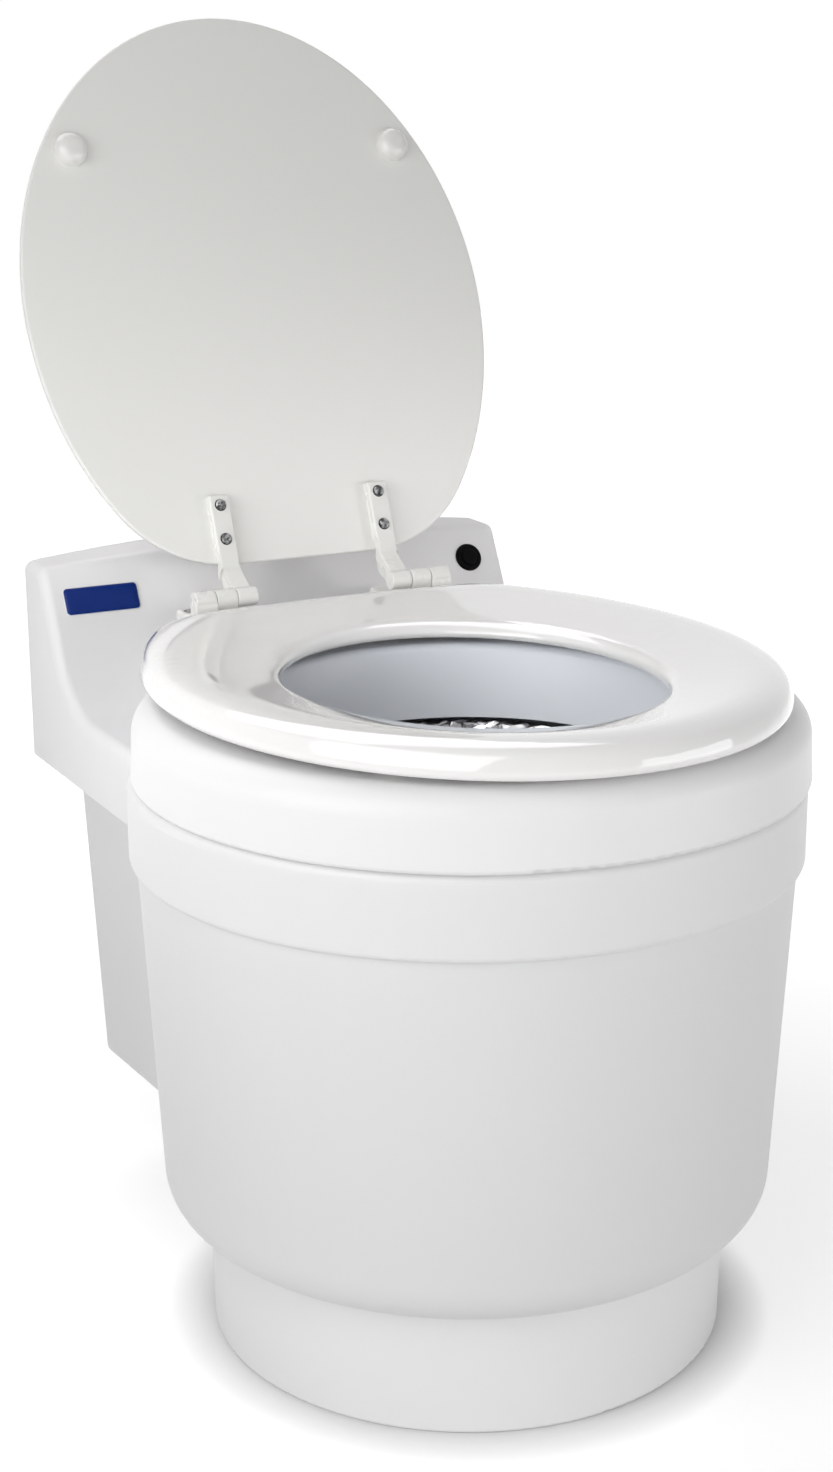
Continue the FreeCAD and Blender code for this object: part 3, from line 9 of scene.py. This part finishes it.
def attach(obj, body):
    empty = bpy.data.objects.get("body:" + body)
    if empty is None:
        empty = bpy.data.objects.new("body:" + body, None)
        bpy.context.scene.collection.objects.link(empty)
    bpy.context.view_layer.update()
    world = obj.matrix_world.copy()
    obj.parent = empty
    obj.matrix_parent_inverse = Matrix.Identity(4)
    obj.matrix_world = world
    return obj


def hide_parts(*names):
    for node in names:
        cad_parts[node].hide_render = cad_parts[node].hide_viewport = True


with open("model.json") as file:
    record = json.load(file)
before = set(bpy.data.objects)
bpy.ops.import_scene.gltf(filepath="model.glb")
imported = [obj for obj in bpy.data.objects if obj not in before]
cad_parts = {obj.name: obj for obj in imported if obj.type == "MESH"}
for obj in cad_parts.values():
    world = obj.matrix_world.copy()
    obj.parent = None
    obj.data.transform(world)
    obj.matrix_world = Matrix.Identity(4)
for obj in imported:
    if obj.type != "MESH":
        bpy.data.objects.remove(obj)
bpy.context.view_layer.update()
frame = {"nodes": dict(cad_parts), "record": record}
NODES = frame["nodes"]


# Node helpers
def new_material(name):
    """Empty node material; returns the material, its node tree and its output node."""
    mat = bpy.data.materials.new(name)
    mat.use_nodes = True
    tree = mat.node_tree
    tree.nodes.clear()
    return mat, tree, tree.nodes.new("ShaderNodeOutputMaterial")


def noise_of(tree, scale, detail=3.0, rough=0.5, stretch=(1, 1, 1)):
    """Noise over the object's own coordinates, in metres."""
    coords = tree.nodes.new("ShaderNodeTexCoord")
    mapping = tree.nodes.new("ShaderNodeMapping")
    mapping.inputs["Scale"].default_value = stretch
    texture = tree.nodes.new("ShaderNodeTexNoise")
    texture.inputs["Scale"].default_value = scale
    texture.inputs["Detail"].default_value = detail
    texture.inputs["Roughness"].default_value = rough
    tree.links.new(coords.outputs["Object"], mapping.inputs["Vector"])
    tree.links.new(mapping.outputs["Vector"], texture.inputs["Vector"])
    return texture.outputs["Fac"]


def ramp(tree, fac, low, high, start=0.3, end=0.7):
    """Number between low and high as fac runs from start to end."""
    node = tree.nodes.new("ShaderNodeMapRange")
    for name, value in (("From Min", start), ("From Max", end), ("To Min", low), ("To Max", high)):
        node.inputs[name].default_value = value
    tree.links.new(fac, node.inputs["Value"])
    return node.outputs["Result"]


def mix_colour(tree, fac, a, b):
    """Colour between two colours by fac."""
    node = tree.nodes.new("ShaderNodeMix")
    node.data_type = "RGBA"
    node.inputs["A"].default_value = (*a, 1)
    node.inputs["B"].default_value = (*b, 1)
    tree.links.new(fac, node.inputs["Factor"])
    return node.outputs["Result"]


def bump_of(tree, height, distance):
    """Normal of a surface raised by height, at most by distance."""
    node = tree.nodes.new("ShaderNodeBump")
    node.inputs["Strength"].default_value = 1.0
    node.inputs["Distance"].default_value = distance
    tree.links.new(height, node.inputs["Height"])
    return node.outputs["Normal"]


MOTTLE_SCALE, GLOSS_SCALE = 9.0, 28.0
SPOT_SCALE, SPOT_SHADE, SPOT_RANGE = 480.0, 0.12, (0.4, 0.62)
RUB_SCALE, RUB_DOWN, RUB_UP = 900.0, 0.1, 0.12
LINE_SCALE, LINE_STRETCH, LINE_DEPTH = 700.0, (1, 9, 1), 0.00004
PATCH_SCALE, PATCH_SHADE, PATCH_RANGE = 55.0, 0.3, (0.42, 0.6)
STREAK_SCALE, STREAK_ROUGH = 90.0, (0.08, 0.24)
CRACKLE_SCALE, CRACKLE_DEPTH = 130.0, 0.0004
FILM_METAL = 0.95


def moulded(name, colour, rough, spread=0.05, coat=0.0, coat_rough=0.1, coat_ior=1.5, grain=900.0,
            grain_depth=0.00002, tint=0.02, ior=1.5):
    """Moulded or painted surface: faint mottling, uneven gloss and a fine skin texture."""
    mat, tree, out = new_material(name)
    bsdf = tree.nodes.new("ShaderNodeBsdfPrincipled")
    bsdf.inputs["IOR"].default_value = ior
    bsdf.inputs["Coat Weight"].default_value = coat
    bsdf.inputs["Coat Roughness"].default_value = coat_rough
    bsdf.inputs["Coat IOR"].default_value = coat_ior
    darker = tuple(max(0.0, c - tint) for c in colour)
    mottle = noise_of(tree, MOTTLE_SCALE, 4.0)
    tree.links.new(mix_colour(tree, mottle, darker, colour), bsdf.inputs["Base Color"])
    tree.links.new(ramp(tree, noise_of(tree, GLOSS_SCALE, 5.0, 0.6), rough - spread, rough + spread),
                   bsdf.inputs["Roughness"])
    tree.links.new(bump_of(tree, noise_of(tree, grain, 2.0), grain_depth), bsdf.inputs["Normal"])
    tree.links.new(bsdf.outputs["BSDF"], out.inputs["Surface"])
    return mat


def brushed(name, colour, rough):
    """Plated metal with fine rubbed lines and dull spots."""
    mat, tree, out = new_material(name)
    bsdf = tree.nodes.new("ShaderNodeBsdfPrincipled")
    bsdf.inputs["Metallic"].default_value = 1.0
    darker = tuple(c * SPOT_SHADE for c in colour)
    spots = ramp(tree, noise_of(tree, SPOT_SCALE), 0.0, 1.0, *SPOT_RANGE)
    tree.links.new(mix_colour(tree, spots, darker, colour), bsdf.inputs["Base Color"])
    tree.links.new(ramp(tree, noise_of(tree, RUB_SCALE), rough - RUB_DOWN, rough + RUB_UP),
                   bsdf.inputs["Roughness"])
    lines = noise_of(tree, LINE_SCALE, 2.0, stretch=LINE_STRETCH)
    tree.links.new(bump_of(tree, lines, LINE_DEPTH), bsdf.inputs["Normal"])
    tree.links.new(bsdf.outputs["BSDF"], out.inputs["Surface"])
    return mat


def crinkled(name, colour):
    """Metallised film: bright facets, dull streaks and a fine crackle."""
    mat, tree, out = new_material(name)
    bsdf = tree.nodes.new("ShaderNodeBsdfPrincipled")
    bsdf.inputs["Metallic"].default_value = FILM_METAL
    darker = tuple(c * PATCH_SHADE for c in colour)
    patches = ramp(tree, noise_of(tree, PATCH_SCALE, 2.0), 0.0, 1.0, *PATCH_RANGE)
    tree.links.new(mix_colour(tree, patches, darker, colour), bsdf.inputs["Base Color"])
    tree.links.new(ramp(tree, noise_of(tree, STREAK_SCALE), *STREAK_ROUGH), bsdf.inputs["Roughness"])
    tree.links.new(bump_of(tree, noise_of(tree, CRACKLE_SCALE, 2.0), CRACKLE_DEPTH), bsdf.inputs["Normal"])
    tree.links.new(bsdf.outputs["BSDF"], out.inputs["Surface"])
    return mat


MATS = {
    # The body, housing, drum, base and cap are copies of one white plastic, each made lighter or darker as
    # painted light and shade: the cap and base lighter, the drum darker, the base warmer.
    "body": moulded("body_plastic", (0.775, 0.78, 0.785), 0.42, 0.02, tint=0.006),
    "housing": moulded("housing_plastic", (0.795, 0.794, 0.797), 0.42, 0.02, tint=0.006),
    "drum": moulded("drum_plastic", (0.763, 0.766, 0.769), 0.44, 0.02, tint=0.006),
    "base": moulded("base_plastic", (0.87, 0.87, 0.865), 0.42, 0.02, tint=0.006),
    "cap": moulded("cap_plastic", (0.845, 0.845, 0.845), 0.36, 0.02, tint=0.006),
    "seat": moulded("seat_enamel", (0.84, 0.835, 0.825), 0.12, 0.02, coat=1.0, coat_rough=0.015,
                    coat_ior=1.75, grain=60.0, tint=0.006),
    "lid": moulded("lid_enamel", (0.82, 0.82, 0.795), 0.45, 0.03, coat=0.06, coat_rough=0.3, grain=420.0,
                   grain_depth=0.00003, tint=0.006),
    "hinge": moulded("hinge_plastic", (0.80, 0.80, 0.77), 0.28, coat=0.2, tint=0.01),
    "bumper": moulded("bumper_plastic", (0.81, 0.805, 0.78), 0.14, 0.03, coat=0.5, coat_rough=0.05,
                      tint=0.008),
    "bowl": moulded("bowl_plastic", (0.77, 0.80, 0.845), 0.38, grain=600.0, tint=0.01),
    "inner": moulded("inner_plastic", (0.62, 0.63, 0.63), 0.45),
    "black": moulded("black_plastic", (0.004, 0.004, 0.0045), 0.5, tint=0.002, grain=1400.0, ior=1.12),
    "board": moulded("board_lacquer", (0.02, 0.12, 0.05), 0.35, tint=0.01),
    "rubber": moulded("pad_rubber", (0.02, 0.02, 0.02), 0.7, tint=0.006, grain=500.0, grain_depth=0.0001),
    "zinc": brushed("zinc_plate", (0.42, 0.425, 0.425), 0.36),
    # Painted shadow: near-black metal for the rings painted round the screw heads.
    "rim": brushed("screw_shade", (0.03, 0.03, 0.03), 0.5),
    "film": crinkled("silver_film", (0.88, 0.88, 0.9)),
    "badge": moulded("badge_resin", (0.003, 0.022, 0.17), 0.22, 0.03, coat=0.12, coat_rough=0.03, grain=300.0,
                     tint=0.002, ior=1.2),
    "badge_edge": moulded("badge_backing", (0.74, 0.76, 0.8), 0.3, 0.03, tint=0.02),
}
SLOTS = {
    "white_body": "body", "seat_enamel": "seat", "lid_enamel": "lid", "hinge_plastic": "hinge",
    "bumper": "bumper", "grey_plastic": "bowl", "inner_plastic": "inner", "black_plastic": "black",
    "film": "film", "zinc": "zinc", "board": "board", "rubber": "rubber",
}
# The cap ring, collar housing, drum shell and base tub take these painted lit and shaded copies in place of
# the white body plastic.
LIT_AND_SHADED_COPIES = {"cap_ring": "cap", "collar_housing": "housing", "drum_shell": "drum", "base_tub": "base"}
for part in frame["record"]["subparts"]:
    data = NODES[part["node"]].data
    data.materials.clear()
    data.materials.append(MATS[LIT_AND_SHADED_COPIES.get(part["node"], SLOTS[part["material_slot"]])])


# Pieces
def new_piece(name, verts, faces, material, body, smooth=True):
    """Mesh object from points and faces, riding on a body."""
    mesh = bpy.data.meshes.new(name)
    mesh.from_pydata(verts, [], faces)
    mesh.materials.append(material)
    mesh.polygons.foreach_set("use_smooth", [smooth] * len(mesh.polygons))
    mesh.update()
    piece = bpy.data.objects.new(name, mesh)
    bpy.context.scene.collection.objects.link(piece)
    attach(piece, body)
    return piece


def ring_faces(rings, count):
    """Quads between rings of count points each."""
    faces = []
    for k in range(rings - 1):
        for i in range(count):
            j = (i + 1) % count
            faces.append((k * count + i, k * count + j, (k + 1) * count + j, (k + 1) * count + i))
    return faces


PANEL_LEAN = math.radians(27.0)
PANEL_OUT = Vector((0, -math.cos(PANEL_LEAN), math.sin(PANEL_LEAN)))
PANEL_UP = Vector((0, math.sin(PANEL_LEAN), math.cos(PANEL_LEAN)))
BADGE_MID = Vector((-0.1307, 0.2579, 0.4126))
BADGE_W, BADGE_H, BADGE_CORNER = 0.0503, 0.0178, 0.0027
BACK_T, BACK_INNER, BACK_MARGIN, BACK_CORNER = 0.0006, 0.9, 0.0009, 0.0004
DOME_H, DOME_STEPS, DOME_FALL, DOME_ROUND = 0.0016, 12, 3, 0.55
WELD = 0.00002


def rounded_outline(width, height, radius, steps=8):
    """Points round a rectangle with rounded corners."""
    points = []
    for k, (sx, sy) in enumerate(((1, 1), (-1, 1), (-1, -1), (1, -1))):
        middle = Vector((sx * (width / 2 - radius), sy * (height / 2 - radius)))
        for s in range(steps + 1):
            angle = math.pi / 2 * (k + s / steps)
            points.append(middle + radius * Vector((math.cos(angle), math.sin(angle))))
    return points


def plate_on_panel(name, levels, width, height, radius, material):
    """Plate on the leaning panel; levels are (share of the outline, height over the panel)."""
    outline = rounded_outline(width, height, radius)
    spine = (width - height) / 2
    verts = []
    for share, lift in levels:
        for p in outline:
            anchor = Vector((max(-spine, min(spine, p.x)), 0))
            q = anchor + (p - anchor) * share
            verts.append(BADGE_MID + Vector((q.x, 0, 0)) + PANEL_UP * q.y + PANEL_OUT * lift)
    faces = ring_faces(len(levels), len(outline))
    piece = new_piece(name, verts, faces, material, "toilet")
    mesh = bmesh.new()
    mesh.from_mesh(piece.data)
    bmesh.ops.remove_doubles(mesh, verts=mesh.verts, dist=WELD)
    bmesh.ops.recalc_face_normals(mesh, faces=mesh.faces)
    mesh.to_mesh(piece.data)
    mesh.free()
    return piece


def badge():
    """Blank domed resin plate on a thin pale backing."""
    dome = [(1.0, BACK_T)]
    for k in range(1, DOME_STEPS + 1):
        share = 1.0 - k / DOME_STEPS
        dome.append((share, BACK_T + DOME_H * (1.0 - share ** DOME_FALL) ** DOME_ROUND))
    plate = plate_on_panel("badge_dome", dome, BADGE_W, BADGE_H, BADGE_CORNER, MATS["badge"])
    backing = [(BACK_INNER, 0.0), (1.0, 0.0), (1.0, BACK_T), (BACK_INNER, BACK_T)]
    edge = plate_on_panel("badge_back", backing, BADGE_W + BACK_MARGIN, BADGE_H + BACK_MARGIN,
                          BADGE_CORNER + BACK_CORNER, MATS["badge_edge"])


LID_OUT = Vector((0, -0.9317, 0.3631))
LID_UP = Vector((0, 0.3631, 0.9317))
SCREW_X = 0.0572
SCREW_LINE = ((0.22085, 0.45174), (0.22902, 0.47270))
SCREW_PLACES = [Vector((sx * SCREW_X, y, z)) for sx in (-1, 1) for y, z in SCREW_LINE]
# Radius and lift of the painted shadow ring round each screw head.
SHADOW_RING_LINE = ((0.0033, -0.0004), (0.0033, 0.0003), (0.0036, 0.0005), (0.0040, 0.0002), (0.0041, -0.0004))


def painted_screw_shadows(count=32):
    """Painted shadow: a dark ring round each screw head on the lid's straps, standing in for the shade in the
    gap round the head.
    """
    verts, faces = [], []
    for place in SCREW_PLACES:
        first = len(verts)
        for radius, lift in SHADOW_RING_LINE:
            for i in range(count):
                angle = 2 * math.pi * i / count
                across = Vector((1, 0, 0)) * math.cos(angle) + LID_UP * math.sin(angle)
                verts.append(place + across * radius + LID_OUT * lift)
        faces += [tuple(first + v for v in face) for face in ring_faces(len(SHADOW_RING_LINE), count)]
    new_piece("painted_screw_shadows", verts, faces, MATS["rim"], "lid")


FILM_LINE = (  # radius and height of the film, from the cassette's rim to the end of the twisted neck
    (0.1246, 0.3414), (0.1228, 0.3419), (0.1210, 0.3423), (0.1192, 0.3424), (0.1174, 0.3420),
    (0.1157, 0.3411), (0.1143, 0.3397), (0.1132, 0.3376), (0.1125, 0.3348), (0.1121, 0.3312),
    (0.1118, 0.3270), (0.1113, 0.3220), (0.1104, 0.3160), (0.1088, 0.3095), (0.1048, 0.3020),
    (0.0985, 0.2937), (0.0900, 0.2850), (0.0800, 0.2765), (0.0690, 0.2680), (0.0570, 0.2590),
    (0.0440, 0.2500), (0.0310, 0.2410), (0.0200, 0.2330), (0.0130, 0.2250), (0.0104, 0.2150),
    (0.0098, 0.2000), (0.0096, 0.1850), (0.0098, 0.1700), (0.0102, 0.1510),
)
FILM_HIGH = 0.3452  # folds stay below the bowl's foot
FILM_CUT = (0.783, 0.260)  # the tube's girth over the cassette's rim, and its length to the neck's end
FILM_COUNT = 170  # points round the film, two to each pleat
PLEAT_TOP, PLEAT_RUN = 0.3100, 0.015  # where the pleats start, and the height over which they deepen
NECK_TOP, NECK_TWIST = 0.2410, 28.0  # where the twist starts, and its radians per metre
LOOSE_R, LOOSE_RUN = 0.1225, 0.004  # radius inside which the film is loose, and over what width
GATHER_TOP, GATHER_RUN = 0.3060, 0.05  # where crumples start to give way to pleats, and over what height
CRUMPLE_ROUND, CRUMPLE_TALL = 5.0, 60.0  # how fine the crumples are, round the film and along it
FOLD_LEAST, FOLD_MID, FOLD_CRUMPLE, FOLD_JITTER = 0.0003, 0.0028, 0.0032, 0.0032
JITTER_TURN, JITTER_LIFT = 0.9, 0.004
WAVE_ROUND, WAVE_FIRST, WAVE_LIFT = 3.0, 8.0, 0.0016
CREASE_SIZES, CREASE_GROWTH, CREASE_FADE, CREASE_SHARP = 3, 2.3, 0.55, 2.2


def crease(x, y, z):
    """Ridged noise in three sizes, from -1 to 1."""
    total, size, weight = 0.0, 1.0, CREASE_FADE
    for k in range(CREASE_SIZES):
        value = noise.noise(Vector((x, y, z)) * size + Vector((13.7 * k, 4.1, 9.3)))
        total += weight * (1.0 - CREASE_SHARP * abs(value))
        size *= CREASE_GROWTH
        weight *= CREASE_FADE
    return max(-1.0, min(1.0, total))


def pleat_depth(radius):
    """How far every second point draws in, for a ring of this radius to hold the film's whole girth."""
    flank = FILM_CUT[0] / FILM_COUNT
    chord = 2 * radius * math.sin(math.pi / FILM_COUNT)
    return math.sqrt(max(0.0, flank ** 2 - chord ** 2))


def film():
    """One length of metallised film over the cassette's rim, crumpled, then pleated into a twisted neck."""
    count = FILM_COUNT
    verts = []
    for k, (radius, height) in enumerate(FILM_LINE):
        loose = min(1.0, max(0.0, (LOOSE_R - radius) / LOOSE_RUN))
        gather = min(1.0, max(0.0, (GATHER_TOP - height) / GATHER_RUN))
        depth = pleat_depth(radius) * min(1.0, max(0.0, (PLEAT_TOP - height) / PLEAT_RUN))
        twist = NECK_TWIST * max(0.0, NECK_TOP - height)
        for i in range(count):
            angle = 2 * math.pi * i / count
            crumple = crease(CRUMPLE_ROUND * math.cos(angle), CRUMPLE_ROUND * math.sin(angle),
                             CRUMPLE_TALL * height)
            jitter = noise.cell_vector(Vector((i + 0.5, k + 0.5, 7.5))) - Vector((0.5, 0.5, 0.5))
            facet = loose * (1 - gather)
            fold = FOLD_MID + FOLD_CRUMPLE * crumple + FOLD_JITTER * jitter.y
            r = radius - facet * max(FOLD_LEAST, fold)
            angle += facet * JITTER_TURN * jitter.x * 2 * math.pi / count
            r -= depth * (i % 2)
            wave = crease(WAVE_ROUND * math.cos(angle), WAVE_ROUND * math.sin(angle), WAVE_FIRST + k)
            lift = WAVE_LIFT * loose * wave
            lift = lift * (1 - gather) + JITTER_LIFT * facet * jitter.z
            angle += twist
            verts.append((r * math.cos(angle), r * math.sin(angle), min(FILM_HIGH, height + lift)))
    faces = []
    for a, b, c, d in ring_faces(len(FILM_LINE), count):
        faces += [(a, b, c), (a, c, d)]
    piece = new_piece("crumpled_film", verts, faces, MATS["film"], "film_table", smooth=False)
    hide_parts("film_liner", "film_tail")


badge()
painted_screw_shadows()
film()


# Camera, where the photograph's stood
CAMERA_PLACE = (-0.62329, -1.14336, 0.72842)
CAMERA_AHEAD = (0.44127, 0.85636, -0.26818)
CAMERA_ROLL = 0.005
CAMERA_LENS, CAMERA_SENSOR = 56.24, 36.0
CAMERA_SHIFT = (0.00123, -0.00031)
CAMERA_FAR = 50.0


def place_camera():
    data = bpy.data.cameras.new("camera")
    data.sensor_fit = "VERTICAL"
    data.sensor_height = CAMERA_SENSOR
    data.lens = CAMERA_LENS
    data.shift_x, data.shift_y = CAMERA_SHIFT
    data.clip_end = CAMERA_FAR
    camera = bpy.data.objects.new("camera", data)
    bpy.context.scene.collection.objects.link(camera)
    ahead = Vector(CAMERA_AHEAD).normalized()
    right = ahead.cross(Vector((0, 0, 1))).normalized()
    up = right.cross(ahead)
    turn = Matrix.Rotation(CAMERA_ROLL, 3, ahead)
    right, up = turn @ right, turn @ up
    camera.matrix_world = Matrix((right, up, -ahead)).transposed().to_4x4()
    camera.location = CAMERA_PLACE
    bpy.context.scene.camera = camera


def area_light(name, location, target, size, power, spread=180.0, colour=(1, 1, 1), mirrored=True):
    """Soft lamp aimed at a point; mirrored says whether gloss shows it."""
    data = bpy.data.lights.new(name, "AREA")
    data.shape = "RECTANGLE"
    data.size, data.size_y = size
    data.energy = power
    data.spread = math.radians(spread)
    data.color = colour
    light = bpy.data.objects.new(name, data)
    bpy.context.scene.collection.objects.link(light)
    light.location = location
    light.visible_glossy = mirrored
    light.rotation_euler = (Vector(target) - Vector(location)).to_track_quat("-Z", "Y").to_euler()


WHITE = (1, 1, 1, 1)
SEEN_LEVEL = 1.0  # how bright the surroundings look
WORLD_LEVEL = 0.19  # how much light they give


def seen_rays(tree):
    """1 for rays that show the surroundings themselves: from the camera, in a reflection or through glass."""
    path = tree.nodes.new("ShaderNodeLightPath")
    total = path.outputs["Is Camera Ray"]
    for name in ("Is Glossy Ray", "Is Transmission Ray"):
        larger = tree.nodes.new("ShaderNodeMath")
        larger.operation = "MAXIMUM"
        tree.links.new(total, larger.inputs[0])
        tree.links.new(path.outputs[name], larger.inputs[1])
        total = larger.outputs["Value"]
    return total


def background_world():
    """Soft grey surroundings that are seen as white."""
    world = bpy.data.worlds.new("world")
    bpy.context.scene.world = world
    world.use_nodes = True
    tree = world.node_tree
    tree.nodes.clear()
    out = tree.nodes.new("ShaderNodeOutputWorld")
    seen = tree.nodes.new("ShaderNodeBackground")
    lit = tree.nodes.new("ShaderNodeBackground")
    for node, level in ((seen, SEEN_LEVEL), (lit, WORLD_LEVEL)):
        node.inputs["Strength"].default_value = level
        node.inputs["Color"].default_value = WHITE
    mix = tree.nodes.new("ShaderNodeMixShader")
    tree.links.new(seen_rays(tree), mix.inputs["Fac"])
    tree.links.new(lit.outputs["Background"], mix.inputs[1])
    tree.links.new(seen.outputs["Background"], mix.inputs[2])
    tree.links.new(mix.outputs["Shader"], out.inputs["Surface"])


FLOOR_HALF = 6
FLOOR_DARK, FLOOR_LIGHT = (0.83, 0.83, 0.83), (0.85, 0.85, 0.85)
NEAR_GLOW = (0.0, 0.47, 0.157, 0.190)  # levels, and the distances from the axis between which they change
FAR_GLOW = (0.0, 0.53, 0.35, 1.4)


def floor_plane():
    """Pale floor that is seen as white away from the shadow round the base."""
    mesh = bpy.data.meshes.new("floor")
    corners = [(x * FLOOR_HALF, y * FLOOR_HALF, 0) for x, y in ((-1, -1), (1, -1), (1, 1), (-1, 1))]
    mesh.from_pydata(corners, [], [(0, 1, 2, 3)])
    floor = bpy.data.objects.new("floor", mesh)
    bpy.context.scene.collection.objects.link(floor)
    mat, tree, out = new_material("floor_paper")
    diffuse = tree.nodes.new("ShaderNodeBsdfDiffuse")
    tree.links.new(mix_colour(tree, noise_of(tree, 2.0), FLOOR_DARK, FLOOR_LIGHT), diffuse.inputs["Color"])
    glow = tree.nodes.new("ShaderNodeEmission")
    coords = tree.nodes.new("ShaderNodeTexCoord")
    reach = tree.nodes.new("ShaderNodeVectorMath")
    reach.operation = "LENGTH"
    tree.links.new(coords.outputs["Object"], reach.inputs[0])
    away = tree.nodes.new("ShaderNodeMath")
    tree.links.new(ramp(tree, reach.outputs["Value"], *NEAR_GLOW), away.inputs[0])
    tree.links.new(ramp(tree, reach.outputs["Value"], *FAR_GLOW), away.inputs[1])
    tree.links.new(away.outputs["Value"], glow.inputs["Strength"])
    both = tree.nodes.new("ShaderNodeAddShader")
    mix = tree.nodes.new("ShaderNodeMixShader")
    tree.links.new(diffuse.outputs["BSDF"], both.inputs[0])
    tree.links.new(glow.outputs["Emission"], both.inputs[1])
    tree.links.new(seen_rays(tree), mix.inputs["Fac"])
    tree.links.new(diffuse.outputs["BSDF"], mix.inputs[1])
    tree.links.new(both.outputs["Shader"], mix.inputs[2])
    tree.links.new(mix.outputs["Shader"], out.inputs["Surface"])
    mesh.materials.append(mat)


place_camera()
background_world()
floor_plane()
area_light("left_near", (-0.8, -0.4, 0.8), (0, 0, 0.4), (1.0, 1.0), 4.6)
area_light("left_far", (-1.6, -0.4, 0.9), (0, 0, 0.35), (1.0, 1.0), 2.6)
area_light("front_low", (-0.3, -1.8, 0.45), (0, 0, 0.3), (1.4, 0.7), 5.6, mirrored=False)
area_light("front_high", (-0.35, -1.6, 1.35), (0, 0, 0.4), (1.0, 0.8), 2.4, mirrored=False)
area_light("front_right", (1.1, -1.2, 0.36), (0, 0, 0.3), (1.3, 0.7), 4.3)
area_light("top_back", (-0.15, 1.2, 2.2), (0, 0, 0.4), (2.4, 1.4), 17.0, colour=(1, 0.96, 0.995))
area_light("side_kick", (-0.62, 0.05, 0.62), (0.02, 0.12, 0.40), (0.3, 0.3), 0.14, 50.0, mirrored=False)
area_light("right_kick", (0.75, -0.45, 0.51), (0.07, 0.25, 0.41), (0.25, 0.15), 0.06, 28.0,
           colour=(1, 0.95, 0.99), mirrored=False)

bpy.context.scene.view_settings.view_transform = "Standard"
